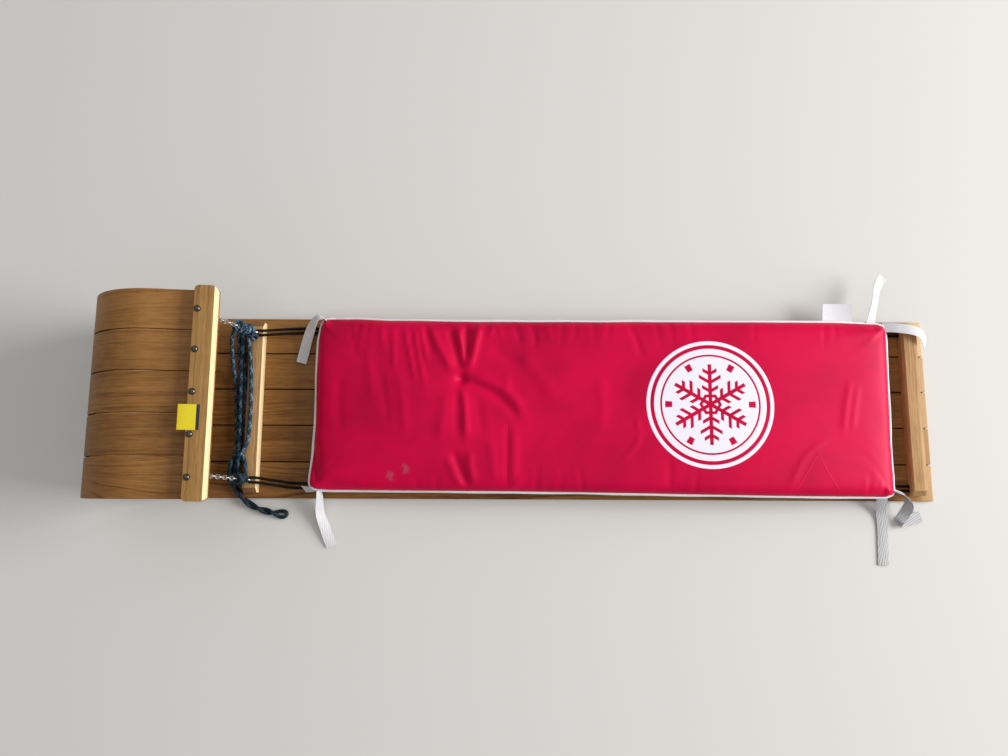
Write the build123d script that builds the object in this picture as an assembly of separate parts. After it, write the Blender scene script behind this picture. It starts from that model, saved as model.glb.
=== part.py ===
from build123d import *
import math
import os

# Wooden toboggan with a curled front, a tied seat pad, curl chains and a tow rope.
# Millimetres. The origin is on the running surface, halfway along the whole length and
# on the middle line. +X points to the tail, +Y to the sled's left, +Z up.

# Driving sizes of the bent deck
overall_length = 1524.0
slat_count = 5
slat_width = 67.0
slat_gap = 2.0
slat_thickness = 8.0
slat_edge = 1.2
curl_radius = 118.0
hood_slope = 8.0
hood_reach = 242.0

# Bar across the ends of the curled slats
bar_width = 35.0
bar_thickness = 22.0
bar_overhang = 3.5
bar_corner = 7.0
bar_edge = 1.5

# Crosspieces on the deck
cross_width = 25.0
cross_thickness = 24.0
cross_inset = 10.0
cross_bevel_run = 9.0
cross_bevel_drop = 10.0
cross_edge = 1.2
front_cross_setback = 245.5
tail_cross_setback = 34.5
middle_cross_count = 2

# Doubled side cords and the notches that they run in
cord_diameter = 5.0
cord_half_spacing = 4.3
side_cord_inset = 23.5
cord_landing_run = 64.0
cord_tail_entry = 16.0
notch_clearance = 1.0

# Screw eyes and curl chains
eye_ring_radius = 6.0
eye_wire_radius = 1.5
eye_collar_radius = 3.2
eye_collar_height = 1.6
eye_setback = 18.0
chain_top_inset = 39.5
chain_bottom_inset = 33.5
link_pairs = 6
link_wire_radius = 1.0
link_end_radius = 3.2

# Seat pad
pad_front_setback = 360.0
pad_back_setback = 82.0
pad_side_margin = 8.5
pad_thickness = 40.0
pad_edge_thickness = 3.0
pad_side_inset = 18.0
pad_end_run = 26.0
pad_corner_cut = 3.0

# Tie tapes and care tag sewn into the pad's edge
tape_width = 20.0
tape_thickness = 1.2
tape_end_inset = 16.0
tag_width = 56.0
tag_length = 34.0
tag_setback = 88.0

# Tow rope
rope_diameter = 7.0
rope_layer_width = 29.0
rope_layer_height = 8.0
rope_layer_corner = 3.6
rope_gather_height = 19.0
rope_gather_corner = 8.0
rope_far_y = 143.0
rope_gather_y = -78.0
rope_near_y = -139.0

# Clearances between soft and rigid pieces, and between loose metal rings
soft_clearance = 0.3
ring_clearance = 0.3

# Flat sides that stand for the round of wires and cords, and of a ring's bend
wire_sides = 6
cord_sides = 7
ring_sides = 12
link_end_sides = 4

# Places worked out from the driving sizes
front_x = -overall_length / 2
tail_x = overall_length / 2
deck_width = slat_count * slat_width + (slat_count - 1) * slat_gap
curl_x = front_x + curl_radius
hood_end_x = front_x + hood_reach
slope_cos = math.cos(math.radians(hood_slope))
slope_sin = math.sin(math.radians(hood_slope))
hood_start_x = curl_x + curl_radius * slope_sin
hood_start_z = curl_radius + curl_radius * slope_cos
hood_run = (hood_end_x - hood_start_x) / slope_cos
hood_end_z = hood_start_z - hood_run * slope_sin
cross_length = deck_width - 2 * cross_inset
cross_top = slat_thickness + cross_thickness
front_cross_x = front_x + front_cross_setback
tail_cross_x = tail_x - tail_cross_setback
cross_pitch = (tail_cross_x - front_cross_x) / (middle_cross_count + 1)
middle_cross_xs = [front_cross_x + cross_pitch * (i + 1) for i in range(middle_cross_count)]
cord_y = deck_width / 2 - side_cord_inset
chain_y_top = deck_width / 2 - chain_top_inset
chain_y_bottom = deck_width / 2 - chain_bottom_inset
cord_radius = cord_diameter / 2
rope_radius = rope_diameter / 2
pad_front_x = front_x + pad_front_setback
pad_back_x = tail_x - pad_back_setback
pad_width = deck_width - 2 * pad_side_margin
pad_half = pad_thickness / 2

os.makedirs("parts", exist_ok=True)


def save(solids, name):
    """Writes one node, which may hold several solids that do not touch."""
    shape = solids[0] if len(solids) == 1 else Compound(children=solids)
    shape.label = name
    export_step(shape, f"parts/{name}.step")


def tube(path, radius):
    """A cord along a wire."""
    start = Plane(origin=path @ 0, z_dir=path % 0)
    return sweep(start * RegularPolygon(radius, cord_sides), path).solid()


def wire_loop(plane, corners, radius):
    """Bent wire round a closed run of straight sides, begun halfway along the last side."""
    middle = [(a + b) / 2 for a, b in zip(corners[0], corners[-1])]
    points = [plane.from_local_coords((x, y, 0)) for x, y in [middle, *corners, middle]]
    path = Wire.make_polygon(points, close=False)
    start = Plane(origin=path @ 0, x_dir=plane.z_dir, z_dir=path % 0)
    section = start * RegularPolygon(radius, wire_sides)
    return sweep(section, path, transition=Transition.RIGHT).solid()


def bend_corners(centre_x, radius, first_angle, turn, sides):
    """Corners of a bend that is made of straight sides."""
    angles = [math.radians(first_angle + turn * i / sides) for i in range(sides + 1)]
    return [(centre_x + radius * math.cos(a), radius * math.sin(a)) for a in angles]


def rounded_route(points, label):
    """Straight runs joined by arcs as large as the runs beside them allow."""
    radii = []
    for before, corner, after in zip(points, points[1:], points[2:]):
        arriving = Vector(*corner) - Vector(*before)
        leaving = Vector(*after) - Vector(*corner)
        half_turn = math.radians(arriving.get_angle(leaving)) / 2
        shorter = min(arriving.length, leaving.length)
        radii.append(0.45 * shorter / math.tan(half_turn))
    print(label, "radii", [round(radius, 1) for radius in radii])
    return Wire(FilletPolyline(*points, radius=radii).edges())


# Deck slats: one bent board each, from the tail round the curl to the bar
def slat(middle_y):
    middle_radius = curl_radius - slat_thickness / 2
    half_board = slat_thickness / 2
    run_start = (hood_start_x - half_board * slope_sin, hood_start_z - half_board * slope_cos)
    run_end = (hood_end_x - half_board * slope_sin, hood_end_z - half_board * slope_cos)
    with BuildLine(Plane.XZ) as bend:
        Line((tail_x, half_board), (curl_x, half_board))
        CenterArc((curl_x, curl_radius), middle_radius, 270, -(180 + hood_slope))
        Line(run_start, run_end)
    path = bend.wire()
    start = Plane(origin=path @ 0, x_dir=(0, 1, 0), z_dir=path % 0)
    section = Rectangle(slat_width, slat_thickness)
    section = chamfer(section.vertices(), slat_edge)
    board = sweep(start * section, path).solid()
    return board.moved(Location((0, middle_y, 0)))


slat_pitch = slat_width + slat_gap
slat_ys = [(i - (slat_count - 1) / 2) * slat_pitch for i in range(slat_count)]
for number, slat_y in enumerate(slat_ys, start=1):
    save([slat(slat_y)], f"slat_{number}")


# Bar on top of the hood, with its back planed plumb above the slat ends
hood_plane = Plane(
    origin=(hood_end_x, 0, hood_end_z),
    x_dir=(slope_cos, 0, -slope_sin),
    z_dir=(slope_sin, 0, slope_cos),
)
bar_length = deck_width + 2 * bar_overhang
bar_outline = Pos(-bar_width / 2, 0) * RectangleRounded(bar_width, bar_length, bar_corner)
curl_bar = extrude(hood_plane * bar_outline, bar_thickness, dir=hood_plane.z_dir).solid()
bar_top_edges = curl_bar.faces().sort_by(Axis.Z)[-1].edges()
plumb_seat = (Align.MIN, Align.CENTER, Align.CENTER)
bar_waste = Box(bar_width, 2 * bar_length, 4 * bar_thickness, align=plumb_seat)
bar_waste = Pos(hood_end_x, 0, hood_end_z) * bar_waste
save([(chamfer(bar_top_edges, bar_edge) - bar_waste).solid()], "curl_bar")


# Crosspieces: bevelled ends, eased top edges, notches below for the side cords
notch_width = 2 * cord_half_spacing + cord_diameter + 2 * notch_clearance
notch_height = cord_diameter + soft_clearance + notch_clearance


def crosspiece(middle_x, notch_depth):
    half = cross_length / 2
    shoulder = half - cross_bevel_run
    face_x = middle_x - cross_width / 2
    outline = Plane(origin=(face_x, 0, slat_thickness), x_dir=(0, 1, 0), z_dir=(1, 0, 0)) * make_face(
        Polyline(
            (-half, 0),
            (half, 0),
            (half, cross_thickness - cross_bevel_drop),
            (shoulder, cross_thickness),
            (-shoulder, cross_thickness),
            (-half, cross_thickness - cross_bevel_drop),
            close=True,
        )
    )
    body = extrude(outline, cross_width, dir=(1, 0, 0)).solid()
    top_edges = body.faces().sort_by(Axis.Z)[-1].edges().filter_by(Axis.Y)
    body = chamfer(top_edges, cross_edge).solid()
    if notch_depth > 0:
        for side in (-1, 1):
            corner = Location((face_x, side * cord_y, slat_thickness))
            seat = (Align.MIN, Align.CENTER, Align.MIN)
            body = body - corner * Box(notch_depth, notch_width, notch_height, align=seat)
    return body.solid()


save([crosspiece(front_cross_x, 0)], "crosspiece_front")
for number, cross_x in enumerate(middle_cross_xs, start=1):
    save([crosspiece(cross_x, cross_width)], f"crosspiece_middle_{number}")
save([crosspiece(tail_cross_x, cord_tail_entry + notch_clearance)], "crosspiece_tail")


# Screw eyes: a ring on a short collar that seats on the wood
def screw_eye(seat, outward):
    collar_plane = Plane(origin=seat, x_dir=(0, 1, 0), z_dir=outward)
    collar = extrude(collar_plane * Circle(eye_collar_radius), eye_collar_height).solid()
    rise = eye_collar_height + eye_ring_radius
    ring_plane = Plane(origin=collar_plane.from_local_coords((0, 0, rise)), z_dir=(0, 1, 0))
    corners = bend_corners(0, eye_ring_radius, 0, 360, ring_sides)[:-1]
    ring = wire_loop(ring_plane, corners, eye_wire_radius)
    return (ring + collar).solid()


eye_rise = eye_collar_height + eye_ring_radius
hood_inside = hood_plane.from_local_coords((-eye_setback, 0, -slat_thickness))
upper_ring = hood_plane.from_local_coords((-eye_setback, 0, -slat_thickness - eye_rise))
lower_ring = Vector(front_cross_x, 0, cross_top + eye_rise)


# Chain: interlocked oval links, every second one turned a quarter
def link(middle, along, across):
    straight_half = link_half_length - link_end_radius
    corners = bend_corners(straight_half, link_end_radius, 90, -180, link_end_sides)
    corners += bend_corners(-straight_half, link_end_radius, 270, -180, link_end_sides)
    return wire_loop(Plane(origin=middle, x_dir=along, z_dir=across), corners, link_wire_radius)


link_count = 2 * link_pairs + 1
ring_hold = eye_wire_radius + link_wire_radius + ring_clearance
chain_span = (upper_ring - Vector(lower_ring.X, chain_y_bottom - chain_y_top, lower_ring.Z)).length
links_span = chain_span - 2 * eye_ring_radius + 2 * ring_hold
link_pitch = (links_span - 2 * link_wire_radius - ring_clearance) / link_count
link_half_length = (link_pitch + 2 * link_wire_radius + ring_clearance) / 2

for side_name, side in (("far", 1), ("near", -1)):
    hood_seat = Vector(hood_inside.X, side * chain_y_top, hood_inside.Z)
    deck_seat = Vector(front_cross_x, side * chain_y_bottom, cross_top)
    save([screw_eye(hood_seat, (-slope_sin, 0, -slope_cos))], f"curl_eye_{side_name}")
    save([screw_eye(deck_seat, (0, 0, 1))], f"deck_eye_{side_name}")
    top = Vector(upper_ring.X, side * chain_y_top, upper_ring.Z)
    bottom = Vector(lower_ring.X, side * chain_y_bottom, lower_ring.Z)
    along = (bottom - top).normalized()
    ahead = Vector(1, 0, 0)
    quarter = along.cross(ahead).normalized()
    first = eye_ring_radius - ring_hold + link_half_length
    links = []
    for number in range(link_count):
        across = along.cross(quarter).normalized() if number % 2 == 0 else quarter
        links.append(link(top + along * (first + number * link_pitch), along, across))
    save(links, f"chain_{side_name}")


# Side cords: one cord a side, doubled, looped through the deck eye and led to the tail
cord_rest_z = slat_thickness + soft_clearance + cord_radius
cord_eye_x = front_cross_x + eye_ring_radius - eye_wire_radius - ring_clearance - cord_radius
cross_back_x = front_cross_x + cross_width / 2
cord_over_z = cross_top + soft_clearance + cord_radius
for side_name, side in (("far", 1), ("near", -1)):
    cord_points = []
    for strand in (1, -1):
        eye_y = side * chain_y_bottom + strand * cord_half_spacing
        run_y = side * cord_y + strand * cord_half_spacing
        half = [
            (tail_cross_x - cross_width / 2 + cord_tail_entry, run_y, cord_rest_z),
            (cross_back_x + cord_landing_run, run_y, cord_rest_z),
            (cross_back_x + 4.0, eye_y, cord_over_z + 1.0),
            (cord_eye_x, eye_y, lower_ring.Z),
        ]
        cord_points += half if strand == 1 else half[::-1]
    save([tube(rounded_route(cord_points, f"side_cord_{side_name}"), cord_radius)], f"side_cord_{side_name}")


# Seat pad: ruled sections along its length; it rides over the middle crosspieces and lies
# on the deck at both ends
def pad_section(x, middle_z, half_height, half_width):
    inset = min(pad_side_inset, half_height)
    corners = [
        (half_width, 0),
        (half_width - inset, half_height),
        (inset - half_width, half_height),
        (-half_width, 0),
        (inset - half_width, -half_height),
        (half_width - inset, -half_height),
    ]
    plane = Plane(origin=(x, 0, middle_z), x_dir=(0, 1, 0), z_dir=(1, 0, 0))
    return plane * make_face(Polyline(*corners, close=True))


pad_low_z = slat_thickness + cord_diameter + 2 * soft_clearance + pad_half
pad_high_z = cross_top + soft_clearance + pad_half
pad_half_width = pad_width / 2
# Columns: place along X, height of the middle, half height, half width
pad_stations = [
    (pad_front_x, pad_low_z, pad_edge_thickness / 2, pad_half_width - pad_corner_cut),
    (pad_front_x + pad_end_run, pad_low_z, pad_half, pad_half_width),
]
for cross_x in middle_cross_xs:
    pad_stations.append((cross_x - cross_width / 2, pad_high_z, pad_half, pad_half_width))
    pad_stations.append((cross_x + cross_width / 2, pad_high_z, pad_half, pad_half_width))
pad_stations += [
    (pad_back_x - pad_end_run, pad_low_z, pad_half, pad_half_width),
    (pad_back_x, pad_low_z, pad_edge_thickness / 2, pad_half_width - pad_corner_cut),
]
seat_pad = loft([pad_section(*station) for station in pad_stations], ruled=True).solid()
save([seat_pad], "seat_pad")


def pad_edge(x):
    """Height and half width of the pad's piped edge at a place along it, and its taper there."""
    for (x0, z0, _, y0), (x1, z1, _, y1) in zip(pad_stations, pad_stations[1:]):
        if x0 <= x <= x1:
            share = (x - x0) / (x1 - x0)
            return z0 + (z1 - z0) * share, y0 + (y1 - y0) * share, (y1 - y0) / (x1 - x0)
    raise ValueError("place beyond the pad")


# Tie tapes: each leaves the pad's edge in its own upright plane
def tape(edge_name, place, heading, drop_points):
    """A flat tape whose side view is a polyline of (distance out, height)."""
    turn = math.radians(heading)
    out = Vector(math.cos(turn), math.sin(turn), 0)
    side_way = Vector(math.sin(turn), -math.cos(turn), 0)
    if edge_name in ("far", "near"):
        side = 1 if edge_name == "far" else -1
        _, half_width, taper = pad_edge(place)
        edge_point = Vector(place, side * half_width, 0)
        normal = Vector(-taper, side, 0).normalized()
    else:
        end = 1 if edge_name == "back" else -1
        edge_point = Vector(pad_back_x if end == 1 else pad_front_x, place, 0)
        normal = Vector(end, 0, 0)
    stand_off = soft_clearance + abs(side_way.dot(normal)) * tape_width / 2
    root = edge_point + normal * stand_off
    plane = Plane(origin=root, x_dir=out, z_dir=side_way)
    with BuildSketch(plane) as side_view:
        with BuildLine():
            FilletPolyline(*drop_points, radius=1.2)
        trace(line_width=tape_thickness)
    return extrude(side_view.sketch, tape_width / 2, both=True).solid()


floor_z = soft_clearance + tape_thickness / 2
deck_z = slat_thickness + soft_clearance + tape_thickness / 2
on_cross_z = cross_top + soft_clearance + tape_thickness / 2
end_y = pad_width / 2 - tape_end_inset
floor_fall = [(0, pad_low_z), (16, pad_low_z - 3), (28, 8), (42, floor_z)]
# Columns: name, edge it is sewn to, place along that edge, heading in degrees,
# (distance out, height) points
tapes = [
    ("pad_tie_front_far", "front", end_y + 8.0, -106,
     [(0, pad_low_z), (30, pad_low_z - 8), (52, deck_z + 2), (86, deck_z)]),
    ("pad_tie_front_near", "near", pad_front_x + tape_end_inset, -76,
     [*floor_fall, (104, floor_z)]),
    ("pad_tie_back_far", "far", pad_back_x - tape_end_inset - 4.0, 74,
     [(0, pad_low_z), (26, pad_low_z + 5), (62, pad_low_z + 6), (94, pad_low_z - 2)]),
    ("pad_tie_back_near", "near", pad_back_x - tape_end_inset, -90,
     [*floor_fall, (128, floor_z)]),
    ("pad_tie_back_far_over", "back", end_y + 4.0, 0,
     [(0, pad_low_z), (22, on_cross_z + 3), (40, on_cross_z), (72, on_cross_z), (79, 24),
      (81, deck_z + 5), (90, deck_z)]),
    ("pad_tie_back_near_over", "back", -end_y, -60,
     [(0, pad_low_z), (16, 28), (36, 12), (47, floor_z), (72, floor_z)]),
]
for name, edge_name, place, heading, drop_points in tapes:
    save([tape(edge_name, place, heading, drop_points)], name)

# Care tag sewn flat into the far edge
tag_x = pad_back_x - tag_setback
tag_z, tag_y, _ = pad_edge(tag_x)
tag_box = Box(tag_width, tag_length, tape_thickness, align=(Align.CENTER, Align.MIN, Align.CENTER))
save([Location((tag_x, tag_y + soft_clearance, tag_z)) * tag_box], "care_tag")

# Tow rope: a layer of strands on the deck against the front crosspiece, gathered higher at
# its near end
cross_front_x = front_cross_x - cross_width / 2
hank_x = cross_front_x - soft_clearance - rope_layer_width / 2
hank_floor_z = slat_thickness + soft_clearance


def rope_bundle(first_y, last_y, height, corner):
    middle = (hank_x, first_y, hank_floor_z + height / 2)
    section = Plane(origin=middle, x_dir=(1, 0, 0), z_dir=(0, 1, 0)) * RectangleRounded(
        rope_layer_width, height, corner
    )
    return extrude(section, last_y - first_y, dir=(0, 1, 0)).solid()


layer = rope_bundle(rope_gather_y, rope_far_y, rope_layer_height, rope_layer_corner)
gather = rope_bundle(rope_near_y, rope_gather_y, rope_gather_height, rope_gather_corner)
save([(layer + gather).solid()], "tow_rope_hank")

# The strand that is tied to the far chain and comes down to the layer's outer side
rope_lead_points = [
    (-527.0, 129.0, 112.0),
    (-531.0, 118.0, 100.0),
    (-539.0, 100.0, 78.0),
    (-546.0, 78.0, 52.0),
    (-550.5, 58.0, 31.0),
    (-552.0, 46.0, 19.4),
]
save([tube(rounded_route(rope_lead_points, "tow_rope_lead"), rope_radius)], "tow_rope_lead")

# The strand that lies along the top of the front crosspiece
over_z = cross_top + soft_clearance + rope_radius
gather_top_z = hank_floor_z + rope_gather_height + soft_clearance + rope_radius
rope_over_points = [
    (-534.0, 141.0, 20.6),
    (-535.0, 136.0, 32.0),
    (-532.0, 127.0, 40.0),
    (-525.0, 113.0, 39.5),
    (-520.5, 92.0, over_z + 0.4),
    (-519.0, 50.0, over_z),
    (-517.5, -38.0, over_z),
    (-519.5, -66.0, over_z + 0.4),
    (-526.0, -86.0, 39.5),
    (-533.0, -99.0, 39.0),
    (-537.0, -112.0, gather_top_z + 2.6),
]
save([tube(rounded_route(rope_over_points, "tow_rope_over"), rope_radius)], "tow_rope_over")

# The doubled stretch from the hank over the deck's edge to the eye on the floor, and back
# up to the near chain
rope_tail_points = [
    (-541.0, -140.4, 19.0),
    (-538.0, -153.0, 17.0),
    (-530.0, -168.0, 15.0),
    (-517.0, -179.0, 9.0),
    (-499.0, -187.0, 4.0),
    (-480.0, -192.5, 3.9),
    (-463.0, -193.0, 3.9),
    (-453.0, -195.5, 3.9),
    (-449.5, -202.0, 3.9),
    (-453.5, -208.5, 3.9),
    (-464.0, -210.0, 3.9),
    (-482.0, -202.0, 3.9),
    (-503.0, -196.0, 3.9),
    (-523.0, -187.0, 9.0),
    (-538.0, -174.0, 15.0),
    (-550.0, -158.0, 19.0),
    (-557.0, -147.0, 32.0),
    (-556.0, -141.0, 52.0),
    (-547.0, -138.0, 76.0),
    (-535.0, -137.0, 98.0),
]
save([tube(rounded_route(rope_tail_points, "tow_rope_tail"), rope_radius)], "tow_rope_tail")
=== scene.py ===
"""Dresses the toboggan's CAD frame: bent wood, chains, cords, tow rope and tied seat pad."""

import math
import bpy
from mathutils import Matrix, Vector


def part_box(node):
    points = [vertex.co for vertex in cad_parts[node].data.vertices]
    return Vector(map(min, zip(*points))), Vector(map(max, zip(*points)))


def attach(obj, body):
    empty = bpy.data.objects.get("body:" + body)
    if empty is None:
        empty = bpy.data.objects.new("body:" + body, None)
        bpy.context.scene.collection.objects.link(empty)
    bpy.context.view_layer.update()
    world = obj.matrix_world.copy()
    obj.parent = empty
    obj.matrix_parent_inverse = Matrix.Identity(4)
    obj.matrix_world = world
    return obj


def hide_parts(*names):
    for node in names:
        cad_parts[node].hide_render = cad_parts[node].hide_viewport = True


bl_info = {
    "name": "Wooden Toboggan",
    "version": (1, 0, 0),
    "blender": (4, 5, 0),
    "location": "3D View > Sidebar > Toboggan",
    "description": "Bent-wood toboggan with a seat pad, curl chains and a tow rope",
    "category": "Add Mesh",
}

import bmesh
import bpy
import numpy as np
from bpy.props import FloatProperty, FloatVectorProperty, PointerProperty
from mathutils import Matrix, Vector

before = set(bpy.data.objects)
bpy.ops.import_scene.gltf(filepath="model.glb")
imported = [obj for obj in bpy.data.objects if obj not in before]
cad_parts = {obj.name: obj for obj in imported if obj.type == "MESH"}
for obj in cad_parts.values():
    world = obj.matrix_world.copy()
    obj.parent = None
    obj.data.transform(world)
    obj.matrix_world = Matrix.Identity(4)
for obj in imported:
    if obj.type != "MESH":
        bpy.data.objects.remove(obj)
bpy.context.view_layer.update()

MM = 0.001

# The bent deck and its bar, as the part's source gives them
TAIL_X = 0.762
CURL_X = -0.644
CURL_RADIUS = 0.118
HOOD_SLOPE = math.radians(8)
HOOD_END = Vector((-0.520, 0.0, 0.21973))
SLAT_THICKNESS = 0.008
DECK_SLATS = 5
BAR_WIDTH = 0.035
BAR_THICKNESS = 0.022

# The hood's own directions, down its slope and out of its upper face, and its length
HOOD_ALONG = Vector((math.cos(HOOD_SLOPE), 0.0, -math.sin(HOOD_SLOPE)))
HOOD_OUT = Vector((math.sin(HOOD_SLOPE), 0.0, math.cos(HOOD_SLOPE)))
HOOD_TURN = Matrix.Rotation(HOOD_SLOPE, 4, "Y")
HOOD_START_X = CURL_X + CURL_RADIUS * math.sin(HOOD_SLOPE)
HOOD_REACH = (HOOD_END.x - HOOD_START_X) / math.cos(HOOD_SLOPE)

CROSSPIECES = ("crosspiece_front", "crosspiece_middle_1", "crosspiece_middle_2", "crosspiece_tail")
SIDES = ((1, "far"), (-1, "near"))
# How far out from the middle the side cords run along the deck
CORD_Y = 0.148


def screen_colour(red, green, blue):
    """A colour given in 0-255 screen values, as the linear light that sockets take."""

    def linear(value):
        value /= 255
        return value / 12.92 if value <= 0.04045 else ((value + 0.055) / 1.055) ** 2.4

    return (linear(red), linear(green), linear(blue))


def scaled(colour, share):
    return tuple(share * value for value in colour)


def colour_setting(name, description, *levels):
    return FloatVectorProperty(
        name=name, description=description, subtype="COLOR", size=3, min=0.0, max=1.0,
        default=screen_colour(*levels),
    )


def number_setting(name, description, default, unit="NONE"):
    return FloatProperty(name=name, description=description, default=default, unit=unit)


class TobogganWoodSettings(bpy.types.PropertyGroup):
    edge_round: number_setting("Edge rounding", "Radius of the boards' edges", 0.0014, "LENGTH")
    slat_light: colour_setting("Slat light", "Early wood of the varnished slats", 156, 109, 56)
    slat_dark: colour_setting("Slat dark", "Growth lines of the varnished slats", 85, 47, 6)
    bar_light: colour_setting("Bar light", "Early wood of the curl bar", 170, 130, 75)
    bar_dark: colour_setting("Bar dark", "Growth lines of the curl bar", 104, 68, 30)
    cross_light: colour_setting("Crosspiece light", "Early wood of the crosspieces", 206, 166, 114)
    cross_dark: colour_setting("Crosspiece dark", "Growth lines of the crosspieces", 132, 90, 52)
    # This pale bare wood also paints the light on the faces turned to the key light
    raw_and_lit: colour_setting("Raw wood", "Pale planed faces without varnish", 248, 225, 174)


class TobogganPadSettings(bpy.types.PropertyGroup):
    pressure: number_setting("Stuffing pressure", "Push of the foam on the cover", 4.0)
    slack: number_setting("Cover slack", "Share by which the cover is cut too long", 0.035)
    piping_radius: number_setting("Piping radius", "Radius of the white piping", 0.0035, "LENGTH")
    cover: colour_setting("Cover", "Crimson coated cloth of the seat pad", 206, 2, 62)
    ink: colour_setting("Print", "White ink of the printed badge", 236, 232, 244)
    piping: colour_setting("Piping", "White piping and tapes", 238, 238, 240)


class TobogganRopeSettings(bpy.types.PropertyGroup):
    rope_diameter: number_setting("Tow rope diameter", "Thickness of the rope", 0.007, "LENGTH")
    cord_diameter: number_setting("Side cord diameter", "Thickness of a cord", 0.005, "LENGTH")
    rope_dark: colour_setting("Rope dark", "Navy strands of the tow rope", 38, 56, 69)
    rope_teal: colour_setting("Rope teal", "Teal strands of the tow rope", 60, 122, 140)
    rope_fleck: colour_setting("Rope fleck", "Pale flecks of the tow rope", 168, 154, 186)
    cord_black: colour_setting("Cord black", "Black side cords", 13, 11, 10)


class TobogganStageSettings(bpy.types.PropertyGroup):
    key: number_setting("Key light", "Soft light from the tail", 420.0, "POWER")
    top: number_setting("Top light", "Soft light from above", 11.0, "POWER")
    sky: number_setting("Sky", "Strength of the light from all round", 0.5)
    floor: colour_setting("Floor", "Pale floor as it is seen", 214, 212, 208)
    floor_bounce: colour_setting("Floor bounce", "Floor as it lights the object", 170, 166, 160)


# Shader expressions


def maths(operation):
    """A method that adds one maths node."""
    return lambda self, *others: self.math(operation, *others)


class Value:
    """A shader socket that takes part in Python expressions."""

    def __init__(self, look, socket):
        self.look = look
        self.socket = socket

    def math(self, operation, *others, clamp=False):
        settings = {"operation": operation, "use_clamp": clamp}
        return self.look.node("ShaderNodeMath", settings, dict(enumerate((self, *others))))

    __add__ = __radd__ = maths("ADD")
    __mul__ = __rmul__ = maths("MULTIPLY")
    __sub__ = maths("SUBTRACT")
    __truediv__ = maths("DIVIDE")
    __pow__ = maths("POWER")
    __mod__ = maths("FLOORED_MODULO")
    __abs__ = maths("ABSOLUTE")
    sine = maths("SINE")
    cosine = maths("COSINE")
    floor = maths("FLOOR")
    least = maths("MINIMUM")
    most = maths("MAXIMUM")

    def __rsub__(self, other):
        return self.look.node("ShaderNodeMath", {"operation": "SUBTRACT"}, {0: other, 1: self})

    def clamped(self, extra=0.0):
        return self.math("ADD", extra, clamp=True)

    def below(self, edge, soft):
        """1 where the value is under the edge, 0 over it, with a soft change between."""
        return ((edge - self) / soft).clamped(0.5)

    def rise(self, low, high):
        """0 under low and 1 over high, smooth between."""
        return self.look.node(
            "ShaderNodeMapRange",
            {"interpolation_type": "SMOOTHSTEP"},
            {"Value": self, "From Min": low, "From Max": high},
        )


class Look:
    """A material and the nodes in it."""

    def __init__(self, name):
        self.material = bpy.data.materials.new(name)
        self.material.use_nodes = True
        self.tree = self.material.node_tree
        self.shader = self.tree.nodes["Principled BSDF"]

    def node(self, kind, settings=None, inputs=None, output=0):
        """Adds one node: its settings first, then its sockets' values or links."""
        made = self.tree.nodes.new(kind)
        for key, value in (settings or {}).items():
            setattr(made, key, value)
        for key, value in (inputs or {}).items():
            self.feed(made.inputs[key], value)
        return Value(self, made.outputs[output])

    def feed(self, socket, value):
        if isinstance(value, Value):
            self.tree.links.new(value.socket, socket)
        elif socket.type == "RGBA" and len(value) == 3:
            socket.default_value = (*value, 1.0)
        else:
            socket.default_value = value

    def place(self):
        return self.node("ShaderNodeTexCoord", output="Object")

    def uv(self):
        return self.node("ShaderNodeTexCoord", output="UV")

    def attribute(self, name, output="Vector"):
        return self.node("ShaderNodeAttribute", {"attribute_name": name}, output=output)

    def parts(self, vector):
        made = self.node("ShaderNodeSeparateXYZ", inputs={0: vector}).socket.node
        return [Value(self, socket) for socket in made.outputs]

    def vector(self, x, y, z=0.0):
        return self.node("ShaderNodeCombineXYZ", inputs={0: x, 1: y, 2: z})

    def noise(self, vector, scale=1.0, detail=2.0, roughness=0.5):
        inputs = {"Vector": vector, "Scale": scale, "Detail": detail, "Roughness": roughness}
        return self.node("ShaderNodeTexNoise", inputs=inputs, output="Fac")

    def chance(self, value):
        """A fixed random number for each whole value."""
        return self.node("ShaderNodeTexWhiteNoise", {"noise_dimensions": "1D"}, {"W": value})

    def mix(self, share, first, second):
        return self.node("ShaderNodeMix", {"data_type": "RGBA"}, {0: share, 6: first, 7: second}, 2)

    def bump(self, height, strength, distance):
        inputs = {"Height": height, "Strength": strength, "Distance": distance}
        return self.node("ShaderNodeBump", inputs=inputs)

    def finish(self, **sockets):
        """Feeds the shader: base_color goes to Base Color, and so on."""
        for key, value in sockets.items():
            name = key.replace("_", " ").title().replace("Ior", "IOR")
            self.feed(self.shader.inputs[name], value)
        return self.material


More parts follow.
